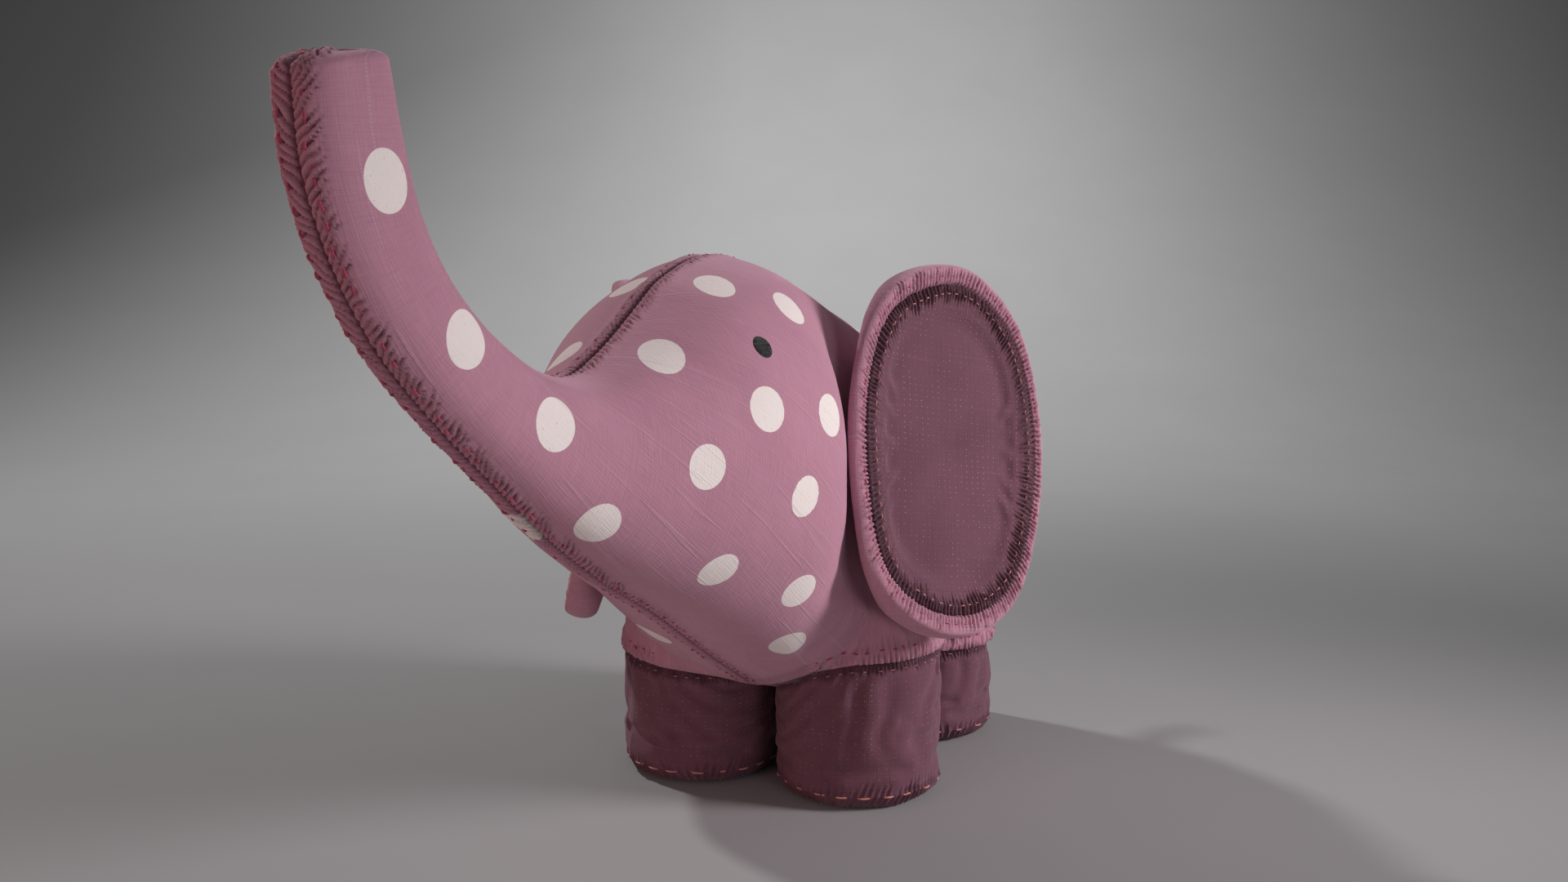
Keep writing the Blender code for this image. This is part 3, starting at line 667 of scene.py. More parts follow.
def leg_folds(theta, level, below, leg_y, seed):
    """Gathers at the top, pleats at the foot, swags and drapes between them: rise and painted shade."""
    around, girth = theta * LEG_RADIUS, 2 * math.pi * LEG_RADIUS
    skew = 0.4 * np.sin(around / 7 + below / 3 + seed)
    _, ridge, fade = loop_pleats(around, girth, 1.6, skew, below, (5.2, 2.2), seed, 0.6)
    fade = fade * smooth_step(level, 18, 30)
    rise = (0.5 + 1.1 * (ridge - 0.5)) * fade
    # painted shade over the whole gathered band under the body's edge, deepest in the valleys
    dark = fade * np.maximum(1 - ridge, 0.45)
    skew = 0.4 * np.sin(around / 8.5 + seed) + 0.16 * level * np.sin(around / 11 + 2 * seed)
    number, ridge, fade = loop_pleats(around, girth, 2.5, skew, level, (7.5, 6), seed + 1, 0.5)
    fade = fade * smooth_step(level, 0.1, 1.5)
    rise += (0.8 + 0.7 * chance(number, seed + 7)) * (ridge - 0.55) * fade
    # painted shade in the valleys of the foot pleats
    dark = np.maximum(dark, 0.8 * fade * (1 - ridge) ** 1.5)
    rise -= 0.5 * np.exp(-((level - FOOT_STITCH_HEIGHT) / 0.8) ** 2)
    corner = math.radians(-140 if leg_y < 40 else 140)
    off = ((theta - corner + math.pi) % (2 * math.pi) - math.pi) * LEG_RADIUS
    swag = np.hypot(off * 0.85, below + 4)
    fold = rolls(swag / 8.2 + 0.25 * wobble(off / 14, below / 14, seed)) - 0.4
    fold = fold * smooth_step(swag, 7, 14) * (1 - smooth_step(swag, 26, 44))
    rise += 1.35 * fold * smooth_step(level, 6, 14)
    drape = rolls(around / 15.3 + 0.018 * below + 0.35 * wobble(around / 20, level / 16, seed + 3)) - 0.4
    rise += 1.1 * drape * smooth_step(below, 3, 9) * smooth_step(level, 9, 34) * smooth_step(swag, 20, 34)
    return rise + 0.3 * wobble(around / 12, level / 12, seed + 6), dark


def around_leg(theta, r, z):
    return np.stack([r * np.cos(theta)[:, None], r * np.sin(theta)[:, None], z], 2)


def leg_cover(place, sign, leg_y, line, mat):
    """Plum tube of one leg: gathered top, soft swags, puckers round the foot."""
    theta, r, z, _ = leg_grid(sign, leg_y, line, COARSE_TURNS, COARSE_ROWS)
    pinned = np.zeros(z.shape, bool)
    pinned[:, (0, -1)] = True
    move = settle(around_leg(theta, r, z), pinned, 0.03, 3.0, 0.8)
    theta, r, z, height = leg_grid(sign, leg_y, line, LEG_TURNS, LEG_ROWS)
    tube = around_leg(theta, r, z) + resample(move, LEG_TURNS, LEG_ROWS)
    arc = math.pi / 2 * np.arange(LEG_FOOT_ROWS) / LEG_FOOT_ROWS
    foot_r = LEG_RADIUS - FOOT_ROUNDING + FOOT_ROUNDING * np.sin(arc)[None, :] + 0 * theta[:, None]
    foot_z = FOOT_ROUNDING * (1 - np.cos(arc))[None, :] + 0 * theta[:, None] + 0.35
    points = np.concatenate([around_leg(theta, foot_r, foot_z), tube], 1)
    level = points[:, :, 2]
    rise, dark = leg_folds(theta[:, None], level, height[:, None] - level, leg_y, sign * 1.3 + leg_y / 40)
    moved = points - wrapped_normals(points) * rise[:, :, None]
    verts = ((moved + (HALF_TRACK, leg_y, 0)) * (sign, 1, 1)).reshape(-1, 3)
    verts[:, 2] = np.maximum(verts[:, 2], LEAST_HEIGHT)
    faces = grid_faces(LEG_TURNS, LEG_FOOT_ROWS + LEG_ROWS, wrap=True, flip=sign < 0)
    cloth = np.stack(np.broadcast_arrays((theta * LEG_RADIUS)[:, None], level, 0 * level), -1)
    data = {"cloth": cloth.reshape(-1, 3), "shaded_crease": dark.ravel()}
    return mesh_object(f"leg_{place}_cover", verts, faces, mat, data), verts.reshape(LEG_TURNS, -1, 3)


# ---- ears

EAR_HALF_WIDTH, EAR_HALF_HEIGHT, EAR_THICK = 42.5, 68.0, 6.2
EAR_SPREAD, EAR_LEAN, EAR_TURN, EAR_SQUARENESS = 30, 9, 7, 2.3
EAR_STEPS = 840
EAR_RIM_WIDTH, EAR_SEWN_SHIFT, FAR_EAR_DROP, FAR_EAR_SHIFT = 46.8, -4.3, -5.0, -6.0
EAR_SEAM_FORWARD, EAR_END_MARGIN = 4.8, 2.8
EAR_BACK_ROWS, EAR_FACE_ROWS, EAR_COARSE_TURNS, EAR_COARSE_ROWS = 24, 26, 60, 10
EAR_MIDDLE_SHARE, EAR_STITCH_ACROSS = 0.06, 4.6
# Sections as (inset from the outline, forward): the rolled rim and back, and the gathered band of the face
EAR_RIM = [(5.8, 4.8), (5.2, 6.4), (3.6, 7.3), (1.8, 6.6), (0.5, 4.2), (0, 1.0), (0.5, -2.2), (2.2, -4.6),
           (5.5, -6.2), (9.5, -7.0)]
EAR_BAND = [(5.4, 4.4), (6.2, 5.9), (8.2, 6.2), (10.4, 5.6), (12.6, 5.0), (14.5, 4.7)]


def ear_frame(sign):
    """Turns an ear's own millimetres (out along the ear, forward, up) into the row frame's."""
    turn = Matrix.Rotation(math.radians(90 - sign * EAR_SPREAD), 4, "Z")
    lean = Matrix.Rotation(math.radians(-sign * EAR_LEAN), 4, "X")
    roll = Matrix.Rotation(math.radians(EAR_TURN), 4, "Y")
    squash = EAR_HALF_WIDTH / EAR_HALF_HEIGHT
    shift = Matrix.Translation((EAR_HALF_WIDTH - EAR_THICK * squash, 0, 0))
    mirror = Matrix.Diagonal((1, -sign, 1, 1))
    hinge = Matrix.Translation((sign * EAR_X, EAR_Y, EAR_Z))
    return np.array(hinge @ turn @ lean @ shift @ roll @ mirror)


def ear_place(sign, points):
    m = ear_frame(sign)
    shift = (EAR_SEWN_SHIFT, 0, 0) if sign > 0 else (EAR_SEWN_SHIFT + FAR_EAR_SHIFT, 0, FAR_EAR_DROP)
    return (points + shift) @ m[:3, :3].T + m[:3, 3]


def ear_outline(sign):
    """Outline of the ear (out, up) at even steps of length, these lengths and the whole length."""
    a = np.linspace(0, 2 * math.pi, 1441)
    c, s = np.cos(a), np.sin(a)
    full = (np.abs(c) ** EAR_SQUARENESS + np.abs(s) ** EAR_SQUARENESS) ** (-1 / EAR_SQUARENESS)
    rim = np.stack([EAR_RIM_WIDTH * c * full, EAR_HALF_HEIGHT * s * full], 1)
    rim *= (1 + 0.008 * np.sin(5 * a + sign) + 0.006 * np.sin(8 * a + 2 * sign))[:, None]
    length = running_length(rim)
    at = np.linspace(0, length[-1], EAR_STEPS, endpoint=False)
    return np.stack([np.interp(at, length, rim[:, k]) for k in (0, 1)], 1), at, length[-1]


def ear_surface(sign, knots, spacing):
    """Points (around, across) of an ear cover with an even, smooth section through the knots."""
    fine = smooth_rows(knots, np.linspace(0, 1, 400))
    length = running_length(fine)
    even = np.linspace(0, length[-1], int(length[-1] / spacing) + 1)
    inset, forward = (np.interp(even, length, fine[:, k]) for k in (0, 1))
    rim, at, total = ear_outline(sign)
    upright = (rim[:, 1] / EAR_HALF_HEIGHT)[:, None] ** 2
    inset = inset[None, :] + EAR_END_MARGIN * upright * smooth_step(inset, 2.5, 6)[None, :]
    share = 1 - inset / np.linalg.norm(rim, axis=1)[:, None]
    points = np.stack([rim[:, 0:1] * share, forward[None, :] + 0 * share, rim[:, 1:2] * share], 2)
    return points, at[:, None], total


def ear_piece(name, sign, points, front_column, rise, mat, data):
    """Raises the folds of an ear cover and puts it in place; front_column is one that looks forward."""
    out = wrapped_normals(points)
    out = out * np.sign(out[:, front_column, 1].mean())
    placed = ear_place(sign, points + out * rise[:, :, None])
    columns = points.shape[1]
    faces = grid_faces(EAR_STEPS, columns, wrap=True, flip=sign < 0)
    faces.append([i * columns + columns - 1 for i in range(EAR_STEPS)][::sign])
    data = {"cloth": points[:, :, (0, 2, 1)].reshape(-1, 3), **data}
    return mesh_object(name, placed.reshape(-1, 3), faces, mat, data), placed


def ear_back(name, sign, mat):
    """Pink rolled rim and back of an ear."""
    points, at, total = ear_surface(sign, EAR_RIM, 0.5)
    inner = points[:, -1]
    rows = [points]
    for k in range(1, EAR_BACK_ROWS + 1):
        share = 1 - k / EAR_BACK_ROWS
        ring = inner * (share, 1, share)
        ring[:, 1] -= 1.6 * (1 - share ** 2)
        rows.append(ring[:, None, :])
    points = np.concatenate(rows, 1)
    x, forward, z = np.moveaxis(points, 2, 0)
    sewn = smooth_step(-x / EAR_RIM_WIDTH, 0.5, 0.95)
    points[:, :, 1] = EAR_SEAM_FORWARD + (forward - EAR_SEAM_FORWARD) * (1 - 0.6 * sewn)
    across = running_length(points[0])[None, :]
    skew = 0.45 * np.sin(at / 5.5 + sign) + 0.12 * across
    number, ridge, fade = loop_pleats(at, total, 1.8, skew, across, (4.2, 2.6), sign + 2, 0.6)
    rise = 1.3 * (0.5 + 0.9 * chance(number, 3)) * (ridge - 0.6) * fade
    rise -= 0.4 * np.exp(-((across - 3.0) / 0.7) ** 2)
    rise += 0.35 * wobble(at / 19, across / 14, sign + 4) * smooth_step(across, 5, 9)
    drape = rolls(z / 17 + 0.35 * wobble(x / 20, z / 20, sign)) - 0.4
    rise += 0.8 * smooth_step(across, 14, 20) * drape * np.exp(-((x + EAR_HALF_WIDTH) / 30) ** 2)
    # painted shade in the valleys of the rim pleats
    data = {"dot": np.full(rise.size, NO_DOT), "shaded_crease": (fade * (1 - ridge) ** 1.1).ravel()}
    return ear_piece(name, sign, points, 3, rise, mat, data)


def ear_face(name, sign, mat):
    """Plum face of an ear: a tightly gathered band round a softly stuffed oval."""
    points, at, total = ear_surface(sign, EAR_BAND, 0.45)
    inner = points[:, -1]
    shares = np.linspace(1, EAR_MIDDLE_SHARE, EAR_COARSE_ROWS)
    coarse = np.stack([inner[::EAR_STEPS // EAR_COARSE_TURNS] * (s, 1, s) for s in shares], 1)
    pinned = np.zeros(coarse.shape[:2], bool)
    pinned[:, 0] = True
    move = settle(coarse, pinned, 0.035, 2.0, 1.8)
    shares = np.linspace(1, EAR_MIDDLE_SHARE, EAR_FACE_ROWS)
    pad = np.stack([inner * (s, 1, s) for s in shares], 1) + resample(move, EAR_STEPS, EAR_FACE_ROWS)
    pad[:, :, 1] += 0.9 * np.sin(math.pi * np.minimum((1 - shares) * 1.1, 1))
    points = np.concatenate([points, pad[:, 1:]], 1)
    x, _, z = np.moveaxis(points, 2, 0)
    across = running_length(points[0])[None, :]
    skew = 0.45 * np.sin(at / 5.5 + 2 * sign) + 0.05 * across
    number, ridge, fade = loop_pleats(at, total, 2.0, skew, across, (7.0, 4.5), sign, 0.5)
    rise = 1.8 * (0.6 + 0.6 * chance(number, 6)) * (ridge - 0.5) * fade
    rise -= 0.35 * np.exp(-((across - 2.9) / 0.7) ** 2)
    rise += 0.5 * wobble(x / 22, z / 22, sign + 9) * smooth_step(across, 10, 20)
    # painted shade in the valleys of the gathered band, and a painted shade strip along the edge under the
    # rim
    dark = np.maximum(fade * np.maximum(1.05 * (1 - ridge), 0.2), 0.35 * (1 - smooth_step(across, 4.0, 7.0)))
    item, placed = ear_piece(name, sign, points, 10, rise, mat, {"shaded_crease": dark.ravel()})
    return item, placed, int(np.argmin(np.abs(across - EAR_STITCH_ACROSS)))


def sew_ear(item, side, sign):
    """Bakes an ear piece's transform into its mesh; two points at its front edge are worked out but not used.
    """
    start = ear_place(sign, np.array([-EAR_RIM_WIDTH + 1.0, 0, 0]))
    end = ear_place(sign, np.array([-EAR_RIM_WIDTH + 16.0, 0, 0]))
    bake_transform(item)


def to_metres(point):
    return tuple((np.asarray(point) + (0, ORIGIN_Y, 0)) * MM)


# ---- tail

TAIL_POS = np.array(JOINTS["tail_wag"]["pos_m"]) / MM - (0, ORIGIN_Y, 0)
TAIL_LENGTH, TAIL_RADIUS, TAIL_RISE, TAIL_TIP = 30.0, 4.5, 14.0, 3.1


def tail_tube(name, first, last, mat, swell, pinch):
    """Tapered tube along the tail's upward curve between two lengths from the root."""
    rows, ring = 90, 40
    y = np.linspace(first, last, rows)[:, None]
    angle = (2 * math.pi * np.arange(ring) / ring)[None, :]
    tip = np.sqrt(np.clip(1 - np.clip((y - TAIL_LENGTH) / TAIL_TIP, 0, 1) ** 2, 0, 1))
    r = (TAIL_RADIUS * (1 - 0.3 * np.clip(y / TAIL_LENGTH, 0, 1)) + swell) * tip
    folds = 0.3 * (pleats(angle * 9 / (2 * math.pi) + y / 11) - 0.5) * pinch(y)
    folds = folds + 0.25 * wobble(y / 6, np.cos(angle) * 2, 3)
    rr = r + folds * tip
    bend = TAIL_RISE * (np.maximum(y, 0) / TAIL_LENGTH) ** 2
    points = np.stack([rr * np.cos(angle), y + 0 * rr, rr * np.sin(angle) + bend], 2)
    cloth = np.stack([angle * r, y + 0 * rr, 0 * rr], -1).reshape(-1, 3)
    data = {"cloth": cloth, "dot": np.full(rr.size, NO_DOT), "shaded_crease": np.zeros(rr.size)}
    return mesh_object(name, (points + TAIL_POS).reshape(-1, 3), closed_rings(rows, ring), mat, data)


# ---- stitches

# Radius of each thread, distance of the seam stitches from their seams, and columns of the loops
THREAD, TOP_THREAD, FACE_THREAD, RIM_THREAD, LEG_THREAD = 0.36, 0.28, 0.26, 0.25, 0.22
UNDER_STITCH_AWAY, TOP_STITCH_AWAY, HEM_STITCH_ABOVE = 3.3, 2.9, 4.6
RIM_STITCH_COLUMN, LEG_STITCH_COLUMN = 6, -8
SUNK = 0.35


def stitch_mesh(name, spans, mat, radius=THREAD):
    """Short round threads, each from a to b, arched over the cloth along its own normal."""
    sides, steps = 6, 6
    verts, faces = [], []
    for a, b, n, lift in spans:
        along = unit(b - a)
        across = unit(np.cross(along, n))
        base = len(verts)
        for k in range(steps + 1):
            f = k / steps
            centre = a + (b - a) * f + n * (lift * math.sin(math.pi * f) ** 0.7 - SUNK)
            thick = radius * (0.55 + 0.45 * math.sin(math.pi * f) ** 0.5)
            for j in range(sides):
                turn = 2 * math.pi * j / sides
                verts.append(centre + (across * math.cos(turn) + n * math.sin(turn)) * thick)
        for k in range(steps):
            for j in range(sides):
                i, m = base + k * sides + j, base + k * sides + (j + 1) % sides
                faces.append([i, m, m + sides, i + sides])
        faces.append([base + j for j in range(sides)][::-1])
        faces.append([base + steps * sides + j for j in range(sides)])
    return mesh_object(name, verts, faces, mat)


def stitch_starts(first, last, pitch, seed, kind=float):
    """Number and start of each stitch of an uneven running stitch."""
    at, number = first, 0
    while at < last:
        yield number, at
        at += kind(pitch * (0.85 + 0.3 * float(chance(number, seed))))
        number += 1


def side_stitches(sheet, seam, distance, first, last, pitch, length, seed, lift=0.55):
    """Running stitch at a distance from a middle seam, "under" or "top"; returns spans."""
    points, out, away, run = (sheet[key] for key in ("points", "out", seam, f"{seam}_length"))
    spans = []
    for number, at in stitch_starts(first, last, pitch, seed + 2):
        offset = distance + 0.7 * (float(chance(number, seed)) - 0.5)
        size = length * (0.8 + 0.4 * float(chance(number, seed + 1)))
        ends = []
        for d in (0, size):
            i = min(max(int(np.searchsorted(run, at + d)), 1), len(run) - 2)
            j = int(np.argmin(np.abs(away[i] - offset)))
            ends.append((points[i, j], out[i, j]))
        (a, out_a), (b, out_b) = ends
        if a[2] > float(hem_height(*a[:2])) + 1:
            spans.append((a, b, unit(out_a + out_b), lift))
    return spans


def hem_stitches(sheet, height, pitch, length, seed, lift=0.6):
    """Running stitch a little above the leg seam."""
    points, out, around, above = (sheet[key] for key in ("points", "out", "around", "above"))
    total = running_length(sheet["line"])[-1]
    near = (np.abs(above - height) < 1.5) & (points[:, :, 1] > HEM_FROM_Y)
    points, out, around, above = points[near], out[near], around[near], above[near]
    spans = []
    for number, at in stitch_starts(2.0, total - 3, pitch, seed + 2):
        level = height + 0.8 * (float(chance(number, seed)) - 0.5)
        i, j = (int(np.argmin((around - at - d) ** 2 + (above - level) ** 2)) for d in (0, length))
        if np.linalg.norm(points[i] - points[j]) > 0.5 * length:
            spans.append((points[i], points[j], unit(out[i] + out[j]), lift))
    return spans


def loop_stitches(grid, column, pitch, length, outward, lift, seed):
    """Running stitch along one column of a closed grid, pitch and length in grid steps."""
    spans = []
    for _, at in stitch_starts(0, len(grid) - length, pitch, seed, int):
        end = (at + length) % len(grid)
        out = unit(outward[at, column] + outward[end, column])
        spans.append((grid[at, column], grid[end, column], out, lift))
    return spans


# ---- materials


class Shader:
    """A material and short ways to add nodes to it."""

    def __init__(self, name, roughness, sheen=0.0, sheen_tint=(1, 1, 1)):
        self.mat = bpy.data.materials.new(name)
        self.mat.use_nodes = True
        self.tree = self.mat.node_tree
        self.out = self.tree.nodes["Principled BSDF"]
        self.out.inputs["Roughness"].default_value = roughness
        self.out.inputs["Sheen Weight"].default_value = sheen
        self.out.inputs["Sheen Roughness"].default_value = 0.5
        self.out.inputs["Sheen Tint"].default_value = (*sheen_tint, 1)
        self.out.inputs["Specular IOR Level"].default_value = 0.25

    def add(self, kind, settings=None, **inputs):
        node = self.tree.nodes.new(kind)
        for key, value in (settings or {}).items():
            setattr(node, key, value)
        for key, value in inputs.items():
            self.set(node.inputs[int(key[1:]) if key[0] == "_" else key.replace("_", " ")], value)
        return node

    def set(self, socket, value):
        if isinstance(value, bpy.types.NodeSocket):
            self.tree.links.new(value, socket)
        else:
            socket.default_value = value

    def attribute(self, name, output="Vector"):
        return self.add("ShaderNodeAttribute", {"attribute_name": name}).outputs[output]

    def scaled(self, vector, scale):
        return self.add("ShaderNodeMapping", Vector=vector, Scale=scale).outputs[0]

    def noise(self, vector, scale, detail=2.0, roughness=0.5):
        return self.add("ShaderNodeTexNoise", Vector=vector, Scale=scale, Detail=detail,
                        Roughness=roughness).outputs["Fac"]

    def math(self, operation, a, b=0.0, clamp=False):
        return self.add("ShaderNodeMath", {"operation": operation, "use_clamp": clamp}, _0=a, _1=b).outputs[0]

    def remap(self, value, low, high, to_low=0.0, to_high=1.0):
        return self.add("ShaderNodeMapRange", Value=value, From_Min=low, From_Max=high, To_Min=to_low,
                        To_Max=to_high).outputs[0]

    def mix(self, factor, a, b, blend="MIX"):
        node = self.add("ShaderNodeMix", {"data_type": "RGBA", "blend_type": blend})
        self.set(node.inputs[0], factor)
        self.set(node.inputs[6], a if isinstance(a, bpy.types.NodeSocket) else (*a, 1))
        self.set(node.inputs[7], b if isinstance(b, bpy.types.NodeSocket) else (*b, 1))
        return node.outputs[2]

    def bump(self, height, distance, strength=1.0):
        node = self.add("ShaderNodeBump", Height=height, Distance=distance, Strength=strength)
        self.set(self.out.inputs["Normal"], node.outputs[0])

    def colour(self, value):
        self.set(self.out.inputs["Base Color"], value)

    def place(self):
        return self.add("ShaderNodeTexCoord").outputs["Object"]


def woven(shader, cloth):
    """Height of a plain weave with uneven threads, cloth coordinates in millimetres."""
    across = shader.noise(shader.scaled(cloth, (0.12, 2.2, 0.3)), 1.0, 1.0)
    down = shader.noise(shader.scaled(cloth, (2.2, 0.12, 0.3)), 1.0, 1.0)
    return shader.math("ADD", across, down)


def slubs(shader, cloth, every=0.42):
    """Rows of fine raised dots and thick threads that run across the cloth."""
    row = shader.noise(shader.scaled(cloth, (0.018, every, 0.02)), 1.0, 1.0)
    line = shader.remap(row, 0.63, 0.69)
    bead = shader.add("ShaderNodeTexWave", {"wave_type": "BANDS", "bands_direction": "X"},
                      Vector=cloth, Scale=0.42, Distortion=1.5, Detail=1.0).outputs["Fac"]
    return shader.math("MULTIPLY", line, shader.remap(bead, 0.3, 0.8, 0.25, 1.0))


def plain_cotton(name, sheen, sheen_tint, slub_every, cloud_size, base, lit):
    """Starts a cotton: shader, cloth coordinates, weave, slubs, clouding and the clouded colour."""
    shader = Shader(name, 0.92, sheen, sheen_tint)
    cloth = shader.attribute("cloth")
    weave = woven(shader, cloth)
    slub = slubs(shader, cloth, slub_every)
    cloud = shader.noise(shader.scaled(cloth, (cloud_size,) * 3), 1.0, 4.0, 0.6)
    return shader, cloth, weave, slub, cloud, shader.mix(shader.remap(cloud, 0.3, 0.75), base, lit)


def finish_cotton(shader, colour, crease_shade_colour, crease_shade_weight, cloud, low_rough, high_rough, height):
    """Paints shade into the creases and sets roughness and bump."""
    # painted shade: the colour is drawn towards a dark shade colour in the valleys of the pleats and gathers
    darkness = shader.math("MULTIPLY", shader.attribute("shaded_crease", "Fac"), crease_shade_weight)
    shader.colour(shader.mix(darkness, colour, crease_shade_colour))
    shader.set(shader.out.inputs["Roughness"], shader.remap(cloud, 0.2, 0.8, low_rough, high_rough))
    shader.bump(height, 0.00022, 0.6)
    return shader.mat


def pink_cotton(name, base, lit, slub_colour, crease_shade_colour):
    """Slubby cotton with printed cream dots."""
    tint = (1.0, 0.72, 0.84)
    shader, cloth, weave, slub, cloud, colour = plain_cotton(name, 0.28, tint, 0.42, 0.035, base, lit)
    grain = shader.remap(weave, 0.7, 1.3, 0.93, 1.07)
    grey = shader.add("ShaderNodeCombineColor", Red=grain, Green=grain, Blue=grain).outputs[0]
    colour = shader.mix(1.0, colour, grey, "MULTIPLY")
    colour = shader.mix(shader.math("MULTIPLY", slub, 0.35), colour, slub_colour)
    edge = shader.math("ADD", shader.attribute("dot", "Fac"), shader.math("MULTIPLY", weave, 0.12))
    speck = shader.noise(shader.scaled(cloth, (1.1, 1.1, 1.1)), 1.0, 2.0)
    cream = shader.mix(shader.remap(speck, 0.66, 0.74), (0.84, 0.78, 0.74), (0.58, 0.52, 0.48))
    colour = shader.mix(shader.remap(edge, 0.02, 0.22, 1.0, 0.0), colour, cream)
    shader.out.inputs["Subsurface Weight"].default_value = 0.08
    shader.out.inputs["Subsurface Radius"].default_value = (1.0, 0.35, 0.3)
    shader.out.inputs["Subsurface Scale"].default_value = 0.003
    height = shader.math("ADD", weave, shader.math("MULTIPLY", slub, 1.2))
    return finish_cotton(shader, colour, crease_shade_colour, 0.8, cloud, 0.86, 0.97, height)


def plum_cotton(name, base, lit, speck_colour, crease_shade_colour):
    """Dark cotton with fine pale pin dots."""
    tint = (1.0, 0.75, 0.85)
    shader, cloth, weave, slub, cloud, colour = plain_cotton(name, 0.25, tint, 0.5, 0.04, base, lit)
    lattice = shader.scaled(cloth, (0.36, 0.5, 0.01))
    cells = shader.add("ShaderNodeTexVoronoi", {"feature": "F1"}, Vector=lattice, Scale=1.0, Randomness=0.18)
    pin = shader.remap(cells.outputs["Distance"], 0.085, 0.13, 1.0, 0.0)
    patches = shader.noise(shader.scaled(cloth, (0.09, 0.05, 0.05)), 1.0, 2.0)
    patch = shader.remap(patches, 0.42, 0.6, 0.35, 1.0)
    pin = shader.math("MULTIPLY", pin, patch)
    colour = shader.mix(shader.math("MULTIPLY", pin, 0.5), colour, speck_colour)
    colour = shader.mix(shader.math("MULTIPLY", slub, 0.05), colour, speck_colour)
    relief = shader.math("ADD", shader.math("MULTIPLY", slub, 0.4), shader.math("MULTIPLY", pin, 0.8))
    height = shader.math("ADD", weave, relief)
    return finish_cotton(shader, colour, crease_shade_colour, 0.85, cloud, 0.82, 0.95, height)


def two_tone(name, roughness, sheen, pattern, span, dark, light, bump, strength):
    """A plain material that mixes two colours by a pattern."""
    shader = Shader(name, roughness, sheen)
    value = pattern(shader, shader.place())
    shader.colour(shader.mix(shader.remap(value, *span), dark, light))
    shader.bump(value, bump, strength)
    return shader.mat


def strands(shader, place):
    return shader.noise(shader.scaled(place, (1, 1, 1)), 1400.0, 2.0)


def tufts(shader, place):
    return shader.noise(place, 300.0, 6.0, 0.7)


def eye_weave(shader, place):
    return shader.math("ADD", shader.noise(shader.scaled(place, (200, 1800, 1800)), 1.0, 1.0),
                       shader.noise(shader.scaled(place, (200, 200, 2200)), 1.0, 1.0))


def thread_material(name, dark, light):
    return two_tone(name, 0.7, 0.3, strands, (0.35, 0.65), dark, light, 0.0002, 0.7)


def wadding_material():
    colours = (0.62, 0.58, 0.52), (0.85, 0.83, 0.78)
    return two_tone("wadding_fibres", 1.0, 0.0, tufts, (0.3, 0.7), *colours, 0.002, 1.0)


def eye_material():
    colours = (0.008, 0.008, 0.008), (0.05, 0.05, 0.048)
    return two_tone("black_cotton_weave", 0.85, 0.15, eye_weave, (0.8, 1.25), *colours, 0.0004, 1.0)


def floor_material():
    """Matt grey that darkens to both sides, as the light does in the photo."""
    shader = Shader("studio_floor", 0.9)
    place = shader.place()
    grain = shader.noise(place, 6.0, 5.0)
    pale = shader.mix(shader.remap(grain, 0.2, 0.8), (0.36, 0.36, 0.363), (0.38, 0.38, 0.38))
    sideways = shader.add("ShaderNodeSeparateXYZ", Vector=place).outputs[0]
    aside = shader.math("ABSOLUTE", shader.math("SUBTRACT", sideways, 0.25))
    # painted shade: the floor colour darkens with distance to either side
    shader.colour(shader.mix(shader.remap(aside, 0.35, 1.9), pale, (0.17, 0.17, 0.172)))
    return shader.mat


# ---- dots and eyes

# Printed dots as (station along the body 0..1, angle round it -90 under to 90 top)
LEFT_DOTS = [(0.075, 1), (0.225, 5), (0.33, 4), (0.4, -47), (0.55, 68), (0.6, 48), (0.465, 57),
             (0.525, 15), (0.595, 12), (0.47, -2), (0.565, -12), (0.515, -48), (0.595, -41), (0.63, -61),
             (0.705, 22), (0.71, -12), (0.745, 36), (0.785, 60), (0.78, 4), (0.8, 40), (0.83, -14),
             (0.845, 22), (0.86, 62), (0.9, 2), (0.915, 38), (0.955, -14), (0.97, 16), (0.97, 62)]
RIGHT_DOTS = [(0.13, 3), (0.28, 2), (0.375, -81), (0.43, 8), (0.455, 62), (0.47, -34), (0.535, 76),
              (0.515, 20), (0.61, -73), (0.555, -50), (0.56, -8), (0.58, 42), (0.61, 10), (0.62, -30),
              (0.66, 60), (0.675, 26), (0.7, -6), (0.74, 44), (0.745, 12), (0.78, 68), (0.8, 28),
              (0.82, -8), (0.86, 48), (0.87, 14), (0.93, 64), (0.945, 26), (0.94, -10)]
DOT_RADIUS = 7.0
EYE_PLACE = (0.54, 36.5)
EYE_RADIUS, EYE_TALL, EYE_LIFT, EYE_EDGE_DROP = 3.8, 1.06, 0.42, 0.55


def dot_centres(places, sign):
    centres = []
    for k, (t, angle) in enumerate(places):
        where = body_section(np.array([t]), np.array([float(angle)]), skirt=True)[0, 0]
        centres.append((where, DOT_RADIUS * (0.96 + 0.08 * float(chance(k, sign)))))
    return centres


